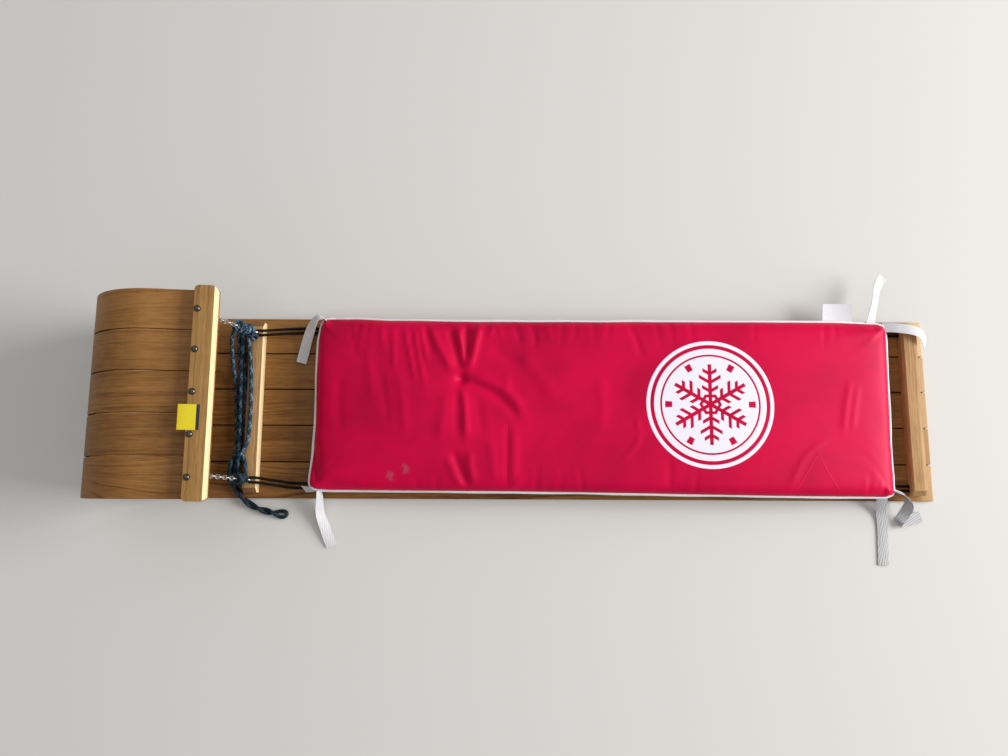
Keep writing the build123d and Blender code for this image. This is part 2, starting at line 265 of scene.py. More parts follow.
def wood_look(name, light, dark, raw_and_lit, line_gap):
    """Varnished wood whose growth lines run along the board's own grain."""
    look = Look(name)
    along, across, depth = look.parts(look.attribute("grain"))
    tone = look.attribute("tone", output="Fac")
    figure = look.attribute("figure", output="Fac")

    def drawn_out(run, gap, detail):
        """Noise drawn out along the grain."""
        return look.noise(look.vector(along * run, across * gap, depth * gap), detail=detail)

    def ringed(run, gap, seed, detail):
        """Noise that follows the growth rings."""
        return look.noise(look.vector(along * run, ring * gap, seed), detail=detail)

    ring = across + depth * 0.8 + (drawn_out(1.5, 9.0, 1.5) - 0.5) * figure
    late_wood = ringed(0.9, 1.0 / line_gap, 0.3, 2.5).rise(0.5, 0.66)
    fine_line = ringed(4.0, 2.2 / line_gap, 1.7, 3.0)
    band = ringed(3.5, 42.0, 2.9, 2.0)
    streak, fibre = drawn_out(40.0, 330.0, 2.0), drawn_out(26.0, 1100.0, 3.0)
    pores, cloud = drawn_out(60.0, 1500.0, 1.0), drawn_out(11.0, 16.0, 3.0)
    shade = late_wood * (0.14 + figure * 1.6) + tone + 0.34
    layers = ((fine_line, 0.85), (band, 0.4), (streak, 0.7), (fibre, 0.5), (cloud, 0.45))
    for layer, weight in layers:
        shade = shade + (layer - 0.5) * weight
    warm = tuple(value * share for value, share in zip(dark, (0.8, 0.62, 0.45)))
    colour = look.mix(shade.clamped(), light, dark)
    colour = look.mix(pores.rise(0.6, 0.78) * 0.45, colour, warm)
    # Painted shade in the gaps and on the sloped ends; where the tone is low, pale bare wood that
    # also paints the light on the faces turned to the key light
    colour = look.mix(tone.rise(0.6, 1.6), colour, scaled(warm, 0.35))
    planed_and_lit = look.mix(shade.clamped(0.4) * 0.4, raw_and_lit, light)
    colour = look.mix((tone * -1.0).rise(0.5, 1.5), colour, planed_and_lit)
    height = fibre * 0.5 + late_wood * 0.3 - pores.rise(0.6, 0.8) * 0.4
    return look.finish(
        base_color=colour,
        roughness=0.5 - late_wood * 0.08 + fibre * 0.1,
        specular_ior_level=0.2,
        coat_weight=0.1,
        coat_roughness=0.3,
        normal=look.bump(height, 0.2, 0.0003),
    )


def steel_look(name, dark, bright):
    """Plated steel, a little clouded."""
    look = Look(name)
    cloud = look.noise(look.place(), scale=420.0, detail=3.0)
    return look.finish(
        base_color=look.mix(cloud, dark, bright),
        metallic=1.0,
        roughness=0.24 + cloud * 0.12,
        coat_weight=0.2,
        coat_roughness=0.15,
        normal=look.bump(cloud, 0.12, 0.0002),
    )


def braid_look(name, strands, pitch, colours, roughness):
    """Braided cord: two sets of strands wind against each other along the cord."""
    look = Look(name)
    dark, middle, fleck = colours
    along, around, _ = look.parts(look.uv())
    right = around * strands + along * (strands / pitch)
    left = around * strands - along * (strands / pitch)
    right_strand, left_strand = right.floor(), left.floor()
    on_top = (right_strand + left_strand) % 2.0
    number = (right_strand % strands) * on_top + (left_strand % strands + strands) * (1.0 - on_top)
    pick = look.chance(number * 1.37 + 4.0)
    colour = look.mix(pick.rise(0.38, 0.42), dark, middle)
    spots = look.noise(look.vector(along * 220.0, around * 9.0)).rise(0.42, 0.6)
    colour = look.mix(pick.rise(0.74, 0.76) * spots, colour, fleck)
    yarn = look.noise(look.vector(along * 1500.0, around * 60.0), detail=1.0)
    valley = ((right % 1.0) * math.pi).sine() * ((left % 1.0) * math.pi).sine()
    # The valleys between the strands are darkened: painted shade
    colour = look.mix(valley.rise(0.0, 0.5) * 0.6 + 0.4, scaled(dark, 0.25), colour)
    # The cords are darker on their near side
    side = look.parts(look.place())[1]
    colour = look.mix(side.below(-0.112, 0.025) * 0.8, colour, scaled(dark, 0.2))
    return look.finish(
        base_color=colour,
        roughness=roughness,
        specular_ior_level=0.15,
        normal=look.bump(valley * 0.8 + yarn * 0.3, 0.6, 0.0004),
    )


BADGE_CENTRE = (0.331, 0.002)
SCUFFS = ((-0.250, -0.131), (-0.225, -0.118))


def cover_look(settings):
    """Coated crimson cloth with the printed badge, a generic snow crystal in a double ring."""
    look = Look("crimson_cover")
    x, y, z = look.parts(look.place())
    weave = (x * 5200.0).sine() * (y * 5200.0).sine()
    cloud = look.noise(look.vector(x, y, z), scale=9.0, detail=4.0)
    fine = look.noise(look.vector(x, y, z), scale=160.0, detail=3.0)
    colour = look.mix(cloud.rise(0.3, 0.75), settings.cover, scaled(settings.cover, 0.74))
    # A few grey scuffs near the front
    left, right = (((x - px) * (x - px) + (y - py) * (y - py)) ** 0.5 for px, py in SCUFFS)
    rub = look.noise(look.vector(x * 1.0, y * 0.6, z), scale=90.0, detail=4.0, roughness=0.7)
    scuff = left.least(right).below(0.007, 0.012) * rub.rise(0.44, 0.54)
    colour = look.mix(scuff * 0.6, colour, screen_colour(146, 92, 108))
    ink = badge_mask(x - BADGE_CENTRE[0], y - BADGE_CENTRE[1]) * z.rise(0.048, 0.052)
    worn = fine.rise(0.70, 0.76) * 0.35
    colour = look.mix(ink * (1.0 - worn), colour, settings.ink)
    height = weave * 0.1 + fine * 0.12 + ink * 0.2 + crease_height(x, y) * 1.6
    return look.finish(
        base_color=colour,
        roughness=0.42 + cloud * 0.1 - ink * 0.04,
        specular_ior_level=0.2,
        specular_tint=(1.0, 0.42, 0.62),
        normal=look.bump(height, 0.4, 0.0004),
    )


# Sharp creases in the cover: ends in millimetres, height and half width in millimetres
CREASES = (
    ((479, -157), (526, -85), 0.7, 2), ((526, -85), (541, -118), 0.7, 1.8),
    ((541, -118), (563, -153), 0.7, 1.8), ((549, -153), (559, -141), 0.6, 1.6),
    ((-38, -36), (-39, -146), -1, 2.4), ((-76, -67), (-74, -99), 0.5, 1.4),
    ((-74, -99), (-62, -136), 0.5, 1.4), ((25, -98), (22, -127), 0.5, 1.6),
    ((-139, -104), (-111, -150), 0.6, 2.2), ((-106, 125), (-109, 150), -0.7, 2.2),
    ((-121, 92), (-140, 140), -0.8, 2.4), ((-98, 132), (-90, 150), 0.6, 1.8),
    ((-74, 125), (-65, 150), 0.6, 1.8), ((-52, 127), (-58, 150), 0.5, 1.8),
    ((551, 110), (554, 150), 0.4, 2),
)


def crease_height(x, y):
    """Thin ridges and creases, too narrow for the mesh."""
    total = 0.0
    for (x0, y0), (x1, y1), height, half_width in CREASES:
        run_x, run_y = (x1 - x0) * MM, (y1 - y0) * MM
        length = run_x * run_x + run_y * run_y
        from_x, from_y = x - x0 * MM, y - y0 * MM
        share = ((from_x * run_x + from_y * run_y) / length).clamped()
        off_x, off_y = from_x - share * run_x, from_y - share * run_y
        distance = (off_x * off_x + off_y * off_y) ** 0.5
        total = total + (1.0 - distance.rise(0.0, half_width * MM)) * height
    return total


def badge_mask(x, y):
    """White where the badge is printed: rings, a disc and a six-armed snow crystal cut from it."""
    radius = (x * x + y * y) ** 0.5
    sector = (x.math("ARCTAN2", y) / (math.pi / 3) + 0.5) % 1.0
    angle = abs(sector - 0.5) * (math.pi / 3)
    out = radius * angle.cosine()
    side = radius * angle.sine()

    def under(value, edge):
        return value.below(edge, 0.0006)

    def band(value, outer, inner):
        return under(value, outer) * (1.0 - under(value, inner))

    crystal = under(side, 0.0034) * under(out, 0.074)
    for start, length in ((0.024, 0.015), (0.040, 0.020), (0.056, 0.013)):
        branch = abs((out - start) * math.sin(math.pi / 3) - side * math.cos(math.pi / 3))
        crystal = crystal.most(under(branch, 0.0029) * under(side, length))
    hexagon = band(out, 0.018, 0.0125)
    rim = abs(((sector + 0.5) % 1.0) - 0.5).below(0.07, 0.02)
    petal = rim * band(radius, 0.083, 0.070)
    red = band(radius, 0.092, 0.0885).most(crystal.most(hexagon)).most(petal)
    return band(radius, 0.117, 0.110).most(under(radius, 0.103) * (1.0 - red))


def tape_look(name, colour, depth=0.12):
    """Woven cotton tape: a diagonal weave that follows the tape."""
    look = Look(name)
    along, across, _ = look.parts(look.uv())

    def woven(run, gap):
        return look.noise(look.vector(along * run, across * gap), detail=2.0)

    sway, thread, cloud = woven(45.0, 90.0), woven(900.0, 900.0), woven(40.0, 40.0)
    twill = ((along * 0.25 + across + sway * 0.006) * (math.tau / 0.0042)).sine()
    shade = twill * depth + depth + (thread - 0.5) * 0.3 + (cloud - 0.5) * 0.3
    return look.finish(
        base_color=look.mix(shade.clamped(), colour, scaled(colour, 0.34)),
        roughness=0.78,
        specular_ior_level=0.25,
        normal=look.bump(twill * 0.5 + thread * 0.6, 0.4, 0.0003),
    )


def plain_look(name, colour, roughness):
    """Paper or plastic with a faint unevenness."""
    look = Look(name)
    cloud = look.noise(look.place(), scale=300.0, detail=3.0)
    return look.finish(
        base_color=look.mix(cloud, colour, scaled(colour, 0.84)),
        roughness=roughness + (cloud - 0.5) * 0.1,
        normal=look.bump(cloud, 0.08, 0.0002),
    )


# Mesh helpers


def choose(obj):
    """Makes the object the only one picked."""
    bpy.ops.object.select_all(action="DESELECT")
    obj.select_set(True)
    bpy.context.view_layer.objects.active = obj


def added(add, **settings):
    """The object that the operator for a primitive adds."""
    bpy.ops.object.select_all(action="DESELECT")
    add(**settings)
    return bpy.context.object


def settle(obj):
    """Puts the object's place, turn and size into its mesh."""
    choose(obj)
    bpy.ops.object.transform_apply(location=True, rotation=True, scale=True)
    return obj


def pick(obj, kind, test=None):
    """Edit mode with the vertices, edges or faces that pass the test picked."""
    choose(obj)
    bpy.ops.object.mode_set(mode="EDIT")
    bpy.ops.mesh.select_mode(type=kind)
    bpy.ops.mesh.select_all(action="DESELECT")
    shape = bmesh.from_edit_mesh(obj.data)
    for item in {"VERT": shape.verts, "EDGE": shape.edges, "FACE": shape.faces}[kind]:
        if test is None or test(item):
            item.select_set(True)
    shape.select_flush_mode()
    bmesh.update_edit_mesh(obj.data)


def leave_edit():
    bpy.ops.object.mode_set(mode="OBJECT")


def extrude(shift, share=1.0):
    """Pulls out what is picked, and narrows its end in plan to the share."""
    bpy.ops.mesh.extrude_region_move(TRANSFORM_OT_translate={"value": shift})
    if share != 1.0:
        bpy.ops.transform.resize(value=(share, share, 1.0))


def slice_at(obj, place, direction, clear=True):
    """Cuts the mesh at a plane, and clears away what lies beyond it."""
    pick(obj, "VERT")
    bpy.ops.mesh.bisect(plane_co=place, plane_no=direction, use_fill=clear, clear_outer=clear)
    leave_edit()


def faces_up(face):
    return face.normal.z > 0.9


def runs_upright(edge):
    run = edge.verts[0].co - edge.verts[1].co
    return abs(run.z) > 0.9 * run.length


def add_modifier(obj, kind, **settings):
    """Adds a modifier and applies it."""
    choose(obj)
    modifier = obj.modifiers.new(kind.lower(), kind)
    for key, value in settings.items():
        setattr(modifier, key, value)
    bpy.ops.object.modifier_apply(modifier=modifier.name)


def ease_edges(obj, width, segments=3, angle=35):
    add_modifier(
        obj, "BEVEL", width=width, segments=segments, limit_method="ANGLE",
        angle_limit=math.radians(angle), use_clamp_overlap=True,
    )


def cut_away(obj, cutter):
    add_modifier(obj, "BOOLEAN", operation="DIFFERENCE", object=cutter, solver="EXACT")
    bpy.data.objects.remove(cutter)


def join(objects):
    bpy.ops.object.select_all(action="DESELECT")
    for obj in objects:
        obj.select_set(True)
    bpy.context.view_layer.objects.active = objects[0]
    if len(objects) > 1:
        bpy.ops.object.join()
    return objects[0]


def copies(obj, matrices):
    """Copies of the object, each with its mesh moved by a matrix, joined; the first one goes."""
    made = []
    for matrix in matrices:
        twin = obj.copy()
        twin.data = obj.data.copy()
        bpy.context.collection.objects.link(twin)
        twin.data.transform(matrix)
        made.append(twin)
    bpy.data.objects.remove(obj)
    return join(made)


def smooth(obj, angle=35):
    choose(obj)
    bpy.ops.object.shade_smooth_by_angle(angle=math.radians(angle))


def finish_piece(obj, name, material, nodes=()):
    """Names a piece, gives it its finish and hangs it on the frame."""
    obj.name = name
    obj.data.name = name
    obj.data.materials.clear()
    obj.data.materials.append(material)
    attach(obj, "root")
    if nodes:
        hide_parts(*nodes)
    return obj


def set_grain(obj, place, tone, offset, figure=0.03):
    """Stores where each point lies in the board: along, across and into its grain."""
    mesh = obj.data
    grain = mesh.attributes.new("grain", "FLOAT_VECTOR", "POINT")
    for vertex, item in zip(mesh.vertices, grain.data):
        along, across, depth = place(vertex.co)
        item.vector = (along + offset, across + offset, depth)
    tones = [
        tone(face, mesh.vertices[corner].co) for face in mesh.polygons for corner in face.vertices
    ]
    mesh.attributes.new("tone", "FLOAT", "CORNER").data.foreach_set("value", tones)
    figures = [figure] * len(mesh.vertices)
    mesh.attributes.new("figure", "FLOAT", "POINT").data.foreach_set("value", figures)


def mesh_piece(name, vertices, faces):
    mesh = bpy.data.meshes.new(name)
    mesh.from_pydata([tuple(vertex) for vertex in vertices], [], faces)
    obj = bpy.data.objects.new(name, mesh)
    bpy.context.collection.objects.link(obj)
    return obj


def unit(vectors):
    """The vectors at a length of one."""
    return vectors / np.linalg.norm(vectors, axis=-1, keepdims=True)


def run_of(line):
    """How far along the line each of its points lies."""
    steps = np.linalg.norm(np.diff(line, axis=0), axis=1)
    return np.concatenate([[0.0], np.cumsum(steps)])


def spline_line(points, spacing):
    """Evenly spaced points on the smooth curve that control points in millimetres give."""
    curve = bpy.data.curves.new("route", "CURVE")
    curve.dimensions = "3D"
    curve.resolution_u = 24
    spline = curve.splines.new("NURBS")
    spline.points.add(len(points) - 1)
    for point, place in zip(spline.points, points):
        point.co = (place[0] * MM, place[1] * MM, place[2] * MM, 1.0)
    spline.order_u = 3
    spline.use_endpoint_u = True
    holder = bpy.data.objects.new("route", curve)
    bpy.context.collection.objects.link(holder)
    bpy.context.view_layer.update()
    mesh = bpy.data.meshes.new_from_object(holder)
    line = np.array([vertex.co for vertex in mesh.vertices])
    bpy.data.objects.remove(holder)
    bpy.data.curves.remove(curve)
    bpy.data.meshes.remove(mesh)
    return even_line(line, spacing)


def even_line(line, spacing):
    run = run_of(line)
    count = max(2, round(run[-1] / spacing))
    places = np.linspace(0.0, run[-1], count + 1)
    return np.stack([np.interp(places, run, line[:, axis]) for axis in range(3)], axis=1)


def tube_piece(name, line, radius, around, closed=False, strands=0, pitch=1.0, relief=0.0):
    """A round piece along a line, with the relief of a braid on it."""
    count = len(line)
    if closed:
        ahead = unit(np.roll(line, -1, axis=0) - np.roll(line, 1, axis=0))
    else:
        ahead = unit(np.gradient(line, axis=0))
    side = unit(np.cross(ahead[0], (0.3, 0.2, 0.9)))
    sides = []
    for direction in ahead:
        side = unit(side - direction * side.dot(direction))
        sides.append(side)
    sides = np.array(sides)
    ups = np.cross(ahead, sides)
    run = run_of(line)
    turn = np.arange(around) / around
    # The last ring of a closed piece is turned back to meet the first one
    twist = math.atan2(sides[-1].dot(ups[0]), sides[-1].dot(sides[0])) if closed else 0.0
    angles = math.tau * turn - (twist * np.arange(count) / max(count - 1, 1))[:, None]
    reach = np.full((count, around), float(radius))
    if strands:
        wound = (run * strands / pitch)[:, None]
        right, left = turn * strands + wound, turn * strands - wound
        reach += relief * (np.abs(np.sin(math.pi * right) * np.sin(math.pi * left)) - 0.6)
    rings = (
        line[:, None, :]
        + (reach * np.cos(angles))[..., None] * sides[:, None, :]
        + (reach * np.sin(angles))[..., None] * ups[:, None, :]
    )
    vertices = rings.reshape(-1, 3).tolist()
    faces, spots = [], []
    length = run[-1] + (np.linalg.norm(line[0] - line[-1]) if closed else 0.0)
    for i in range(count if closed else count - 1):
        k = (i + 1) % count
        here, there = run[i], run[k] if k else length
        for j in range(around):
            m = (j + 1) % around
            faces.append((i * around + j, i * around + m, k * around + m, k * around + j))
            first, second = j / around, (j + 1) / around
            spots += [(here, first), (here, second), (there, second), (there, first)]
    if not closed:
        for ring, direction in ((0, -1), (count - 1, 1)):
            tip = line[ring] + direction * ahead[ring] * radius * 0.5
            vertices.append(tip.tolist())
            for j in range(around):
                m = (j + 1) % around
                corner = (ring * around + j, ring * around + m, len(vertices) - 1)
                faces.append(corner[::direction])
                spots += [(run[ring], j / around)] * 3
    obj = mesh_piece(name, vertices, faces)
    layer = obj.data.uv_layers.new(name="UVMap")
    layer.data.foreach_set("uv", [value for spot in spots for value in spot])
    smooth(obj, 80)
    return obj


def ribbon_piece(stations, width, thickness, cells=6):
    """A tape along stations of (x, y, z) and the direction across it, in millimetres."""
    stations = np.array(stations, dtype=float)
    line = spline_line(stations[:, :3], 0.0025)
    run = run_of(stations[:, :3])
    shares = np.linspace(0.0, run[-1], len(line))
    across = np.stack([np.interp(shares, run, stations[:, axis]) for axis in (3, 4, 5)], axis=1)
    for _ in range(6):
        across[1:-1] = (across[:-2] + 2 * across[1:-1] + across[2:]) / 4
    ahead = unit(np.gradient(line, axis=0))
    across = unit(across - ahead * (across * ahead).sum(axis=1)[:, None])
    length = float(run_of(line)[-1])
    last = len(line) - 1
    grid = bpy.ops.mesh.primitive_grid_add
    obj = added(grid, x_subdivisions=last, y_subdivisions=cells, size=2.0)
    mesh = obj.data
    flat = np.array([vertex.co for vertex in mesh.vertices])
    steps = np.rint((flat[:, 0] + 1) / 2 * last).astype(int)
    sides = flat[:, 1] / 2
    # A woven tape cups a little across its width
    cup = (0.25 - sides**2)[:, None] * width * 0.12
    normal = np.cross(ahead, across)
    places = line[steps] + across[steps] * (sides * width)[:, None] + normal[steps] * cup
    mesh.vertices.foreach_set("co", places.reshape(-1))
    layer = mesh.uv_layers.active or mesh.uv_layers.new(name="UVMap")
    spots = np.stack([steps / last * length, sides * width], axis=1)
    corners = np.empty(len(mesh.loops), dtype=int)
    mesh.loops.foreach_get("vertex_index", corners)
    layer.data.foreach_set("uv", spots[corners].reshape(-1))
    mesh.update()
    add_modifier(obj, "SOLIDIFY", thickness=thickness, offset=0.0)
    smooth(obj, 60)
    return obj, length


# Boards


def board_place(point):
    """Where a point of a bent board lies: along it from the tail, and into its thickness."""
    x, z = point.x, point.z
    if x >= CURL_X and z < CURL_RADIUS:
        return TAIL_X - x, z
    straight = TAIL_X - CURL_X
    middle_radius = CURL_RADIUS - SLAT_THICKNESS / 2
    angle = math.atan2(CURL_X - x, CURL_RADIUS - z) % math.tau
    if x < CURL_X or angle < math.pi + HOOD_SLOPE:
        depth = CURL_RADIUS - math.hypot(x - CURL_X, z - CURL_RADIUS)
        return straight + angle * middle_radius, depth
    bend = straight + (math.pi + HOOD_SLOPE) * middle_radius
    from_end = point - HOOD_END
    return bend + HOOD_REACH + from_end.dot(HOOD_ALONG), -from_end.dot(HOOD_OUT)


def cone_cutter(x, y):
    """A countersink for a screw that comes up through the running surface."""
    return added(
        bpy.ops.mesh.primitive_cone_add,
        vertices=32, radius1=0.0050, radius2=0.0012, depth=0.0038, location=(x, y, 0.0016),
    )


def screw_places():
    """Under each crosspiece, one screw through each slat."""
    places = []
    for node in CROSSPIECES:
        low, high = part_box(node)
        for number in range(1, DECK_SLATS + 1):
            slat_low, slat_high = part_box(f"slat_{number}")
            places.append(((low.x + high.x) / 2, (slat_low.y + slat_high.y) / 2, number))
    return places


# Between these places along the deck the boards grow paler towards the tail
TAIL_BLEND = (0.700, 0.7425)
# Each slat's darkness and how much its growth lines wander, from the near side
SLAT_CHARACTER = ((0.06, 0.17), (0.2, 0.05), (0.06, 0.09), (0.05, 0.04), (-0.12, 0.05))
DECK_STEPS = 12
CURL_STEPS = 60
# Out to here the sides of the slats face a gap
GAPS_HALF_WIDTH = 0.165
# The crosspieces' sloped ends: how far below the top they start, and which way they face
END_DROP = 0.010
END_OUT, END_UP = 10.0, 9.0
NOTCH_WIDTH = 0.0156
NOTCH_HEIGHT = 0.0126
# How far each crosspiece's notches for the side cords run in
NOTCH_DEPTHS = {"crosspiece_middle_1": 0.05, "crosspiece_middle_2": 0.05, "crosspiece_tail": 0.017}


class TOBOGGAN_OT_slats(bpy.types.Operator):
    """Bends five boards from the tail round the curl to the bar"""

    bl_idname = "toboggan.slats"
    bl_label = "Slats"

    def execute(self, context):
        wood = context.scene.toboggan_wood
        material = wood_look(
            "varnished_slat_wood", wood.slat_light, wood.slat_dark, wood.raw_and_lit, line_gap=0.0052
        )
        for number, (tone, figure) in enumerate(SLAT_CHARACTER, start=1):
            self.make(number, tone, figure, wood.edge_round, material)
        return {"FINISHED"}

    def make(self, number, tone, figure, edge_round, material):
        low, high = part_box(f"slat_{number}")
        middle_y = (low.y + high.y) / 2
        board = added(
            bpy.ops.mesh.primitive_plane_add,
            size=1.0,
            location=(TAIL_X, middle_y, SLAT_THICKNESS / 2),
            rotation=(0.0, math.pi / 2, 0.0),
        )
        board.scale = (SLAT_THICKNESS, high.y - low.y, 1.0)
        settle(board)
        pick(board, "FACE")
        for _ in range(DECK_STEPS):
            extrude(((CURL_X - TAIL_X) / DECK_STEPS, 0.0, 0.0))
        bpy.ops.mesh.spin(
            steps=CURL_STEPS,
            angle=-(math.pi + HOOD_SLOPE),
            center=(CURL_X, middle_y, CURL_RADIUS),
            axis=(0.0, 1.0, 0.0),
        )
        leave_edit()
        end_x = max(vertex.co.x for vertex in board.data.vertices if vertex.co.z > CURL_RADIUS)

        def ends_curl(face):
            middle = face.calc_center_median()
            across = abs(face.normal.dot(HOOD_ALONG)) > 0.9
            return across and middle.z > CURL_RADIUS and middle.x > end_x - 0.002

        pick(board, "FACE", ends_curl)
        for _ in range(2):
            extrude(tuple(HOOD_ALONG * HOOD_REACH / 2))
        leave_edit()
        pick(board, "VERT")
        bpy.ops.mesh.remove_doubles(threshold=0.00001)
        bpy.ops.mesh.normals_make_consistent(inside=False)
        leave_edit()
        for blend_x in TAIL_BLEND:
            slice_at(board, (blend_x, 0.0, 0.0), (1.0, 0.0, 0.0), clear=False)
        ease_edges(board, edge_round)
        for x, y, owner in screw_places():
            if owner == number:
                cut_away(board, cone_cutter(x, y))

        def place(point):
            along, depth = board_place(point)
            return along, point.y - middle_y, depth

        def shade(face, point):
            # The curl and the tail are paler than the deck, the sides of the gaps are darkened as
            # painted shade
            gap = abs(face.normal.y) > 0.9 and abs(face.center.y) < GAPS_HALF_WIDTH
            blend = (point.x - TAIL_BLEND[0]) / (TAIL_BLEND[1] - TAIL_BLEND[0])
            pale = 0.1 * (face.center.z > 0.02) + 0.85 * min(max(blend, 0.0), 1.0)
            return tone - pale + 0.95 * gap

        set_grain(board, place, shade, offset=number * 1.7, figure=figure)
        smooth(board)
        finish_piece(board, f"slat_board_{number}", material, [f"slat_{number}"])


class TOBOGGAN_OT_bar(bpy.types.Operator):
    """Shapes the bar that holds the curled ends together"""

    bl_idname = "toboggan.bar"
    bl_label = "Curl Bar"

    def execute(self, context):
        wood = context.scene.toboggan_wood
        material = wood_look(
            "varnished_bar_wood", wood.bar_light, wood.bar_dark, wood.raw_and_lit, line_gap=0.0075
        )
        low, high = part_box("curl_bar")
        bar = added(bpy.ops.mesh.primitive_cube_add, size=1.0)
        bar.scale = (BAR_WIDTH, high.y - low.y, BAR_THICKNESS)
        settle(bar)
        pick(bar, "EDGE", runs_upright)
        bpy.ops.mesh.bevel(offset=0.0078, segments=6, affect="EDGES")
        leave_edit()
        centre = HOOD_END - HOOD_ALONG * (BAR_WIDTH / 2) + HOOD_OUT * (BAR_THICKNESS / 2)
        bar.data.transform(Matrix.Translation(centre) @ HOOD_TURN)
        slice_at(bar, HOOD_END, (1.0, 0.0, 0.0))
        ease_edges(bar, 0.0013, 3, 40)
        # The rear face, turned to the key light, is painted pale: bare wood and painted light
        set_grain(
            bar,
            lambda point: (point.y, point.x, point.z),
            lambda face, point: -2.0 * (face.normal.x > 0.95),
            offset=3.1,
        )
        smooth(bar)
        finish_piece(bar, "curl_bar_dressed", material, ["curl_bar"])
        return {"FINISHED"}


class TOBOGGAN_OT_crosspieces(bpy.types.Operator):
    """Shapes the crosspieces with sloped ends and the side cords' notches"""

    bl_idname = "toboggan.crosspieces"
    bl_label = "Crosspieces"

    def execute(self, context):
        wood = context.scene.toboggan_wood
        material = wood_look(
            "varnished_crosspiece_wood",
            wood.cross_light, wood.cross_dark, wood.raw_and_lit, line_gap=0.0060,
        )
        for number, node in enumerate(CROSSPIECES):
            self.make(node, number, material)
        return {"FINISHED"}

    def make(self, node, number, material):
        low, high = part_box(node)
        middle = (low + high) / 2
        piece = added(bpy.ops.mesh.primitive_cube_add, size=1.0, location=middle)
        piece.scale = high - low
        settle(piece)
        for side, end in ((1, high.y), (-1, low.y)):
            slice_at(piece, (0.0, end, high.z - END_DROP), (0.0, side * END_OUT, END_UP))
        if node in NOTCH_DEPTHS:
            length = NOTCH_DEPTHS[node] + 0.01
            for side, _ in SIDES:
                cutter = added(
                    bpy.ops.mesh.primitive_cube_add,
                    size=1.0,
                    location=(low.x - 0.01 + length / 2, side * CORD_Y, low.z),
                )
                cutter.scale = (length, NOTCH_WIDTH, NOTCH_HEIGHT)
                settle(cutter)
                ease_edges(cutter, 0.0022, 3, 50)
                cut_away(piece, cutter)
        ease_edges(piece, 0.0012, 3, 30)

        def shade(face, point):
            # The sloped ends are darkened as painted shade, and the first crosspiece's rear face,
            # turned to the key light, is painted pale: bare wood and painted light
            sloped = abs(face.normal.y) > 0.6
            if number:
                return 0.05 + 0.25 * sloped
            return 0.16 + 0.65 * sloped - 2.05 * (face.normal.x > 0.9)

        set_grain(
            piece,
            lambda point: (point.y, point.x - middle.x, point.z),
            shade,
            offset=number * 2.3 + 0.7,
        )
        smooth(piece)
        finish_piece(piece, f"{node}_dressed", material, [node])


# Metal

# Places of the bar's bolts: along it from its rear edge, and across the deck
BOLTS_ALONG = -0.0283
BOLTS_Y = (0.135, 0.068, -0.001, -0.069, -0.137)
DOME_RISE = 0.0043
DOME_STEPS = 7


class TOBOGGAN_OT_bolts(bpy.types.Operator):
    """Sets the domed bolts in the bar, their nuts below it and the deck's screws"""

    bl_idname = "toboggan.bolts"
    bl_label = "Bolts and Screws"

    def execute(self, context):
        # The bolts' steel is darker than the chains': painted shade that stands in for the dark
        # surroundings it reflects
        material = steel_look("plated_steel_painted_dark", (0.022, 0.018, 0.014), (0.17, 0.15, 0.128))

        def on_bar(out):
            foot = HOOD_END + HOOD_ALONG * BOLTS_ALONG + HOOD_OUT * out
            return [Matrix.Translation(foot + Vector((0, y, 0))) @ HOOD_TURN for y in BOLTS_Y]

        screws = [Matrix.Translation((x, y, 0.0004)) for x, y, _ in screw_places()]
        for obj, matrices, name in (
            (self.head(), on_bar(BAR_THICKNESS), "bar_bolt_heads"),
            (self.nut(), on_bar(-SLAT_THICKNESS), "bar_bolt_nuts"),
            (self.screw(), screws, "deck_screws"),
        ):
            # The heads stand on the bar's top, the nuts under the slats
            piece = copies(obj, matrices)
            smooth(piece, 30)
            finish_piece(piece, name, material)
        return {"FINISHED"}

    def head(self):
        """A low dome on a thin rim."""
        head = added(
            bpy.ops.mesh.primitive_cylinder_add,
            vertices=36, radius=0.0054, depth=0.0008, location=(0, 0, 0.0004),
        )
        pick(settle(head), "FACE", faces_up)
        for step in range(1, DOME_STEPS):
            angle, before = (value / DOME_STEPS * math.pi / 2 for value in (step, step - 1))
            lift = (math.sin(angle) - math.sin(before)) * DOME_RISE
            extrude((0, 0, lift), math.cos(angle) / math.cos(before))
        leave_edit()
        return head

    def nut(self):
        """A washer with a six-sided nut and the bolt's end on it, pointing down."""
        parts = []
        for sides, radius, depth, middle in (
            (32, 0.0066, 0.0011, -0.00055),
            (6, 0.0052, 0.0040, -0.0031),
            (20, 0.0024, 0.0022, -0.0062),
        ):
            part = added(
                bpy.ops.mesh.primitive_cylinder_add,
                vertices=sides, radius=radius, depth=depth, location=(0, 0, middle),
            )
            ease_edges(settle(part), 0.00035, 2, 40)
            parts.append(part)
        return join(parts)

    def screw(self):
        """A countersunk head that sits just inside the running surface."""
        screw = added(
            bpy.ops.mesh.primitive_cone_add,
            vertices=24, radius1=0.0041, radius2=0.0019, depth=0.0022, location=(0, 0, 0.0011),
        )
        pick(settle(screw), "FACE", lambda face: face.normal.z < -0.9)
        bpy.ops.mesh.inset(thickness=0.0024)
        extrude((0, 0, 0.0008), 0.7)
        leave_edit()
        return screw


CHAIN_TOP = HOOD_END - HOOD_ALONG * 0.018 - HOOD_OUT * (SLAT_THICKNESS + 0.0076)
CHAIN_BOTTOM = Vector((-0.5165, 0.0, 0.0396))
CHAIN_Y_TOP = 0.132
CHAIN_Y_BOTTOM = 0.138
CHAIN_LINKS = 13
RING_RADIUS = 0.006
RING_WIRE = 0.0015
LINK_WIRE = 0.001
LINK_END = 0.0032
# Play between two links, and between a link and a ring
LINK_PLAY = 0.0003


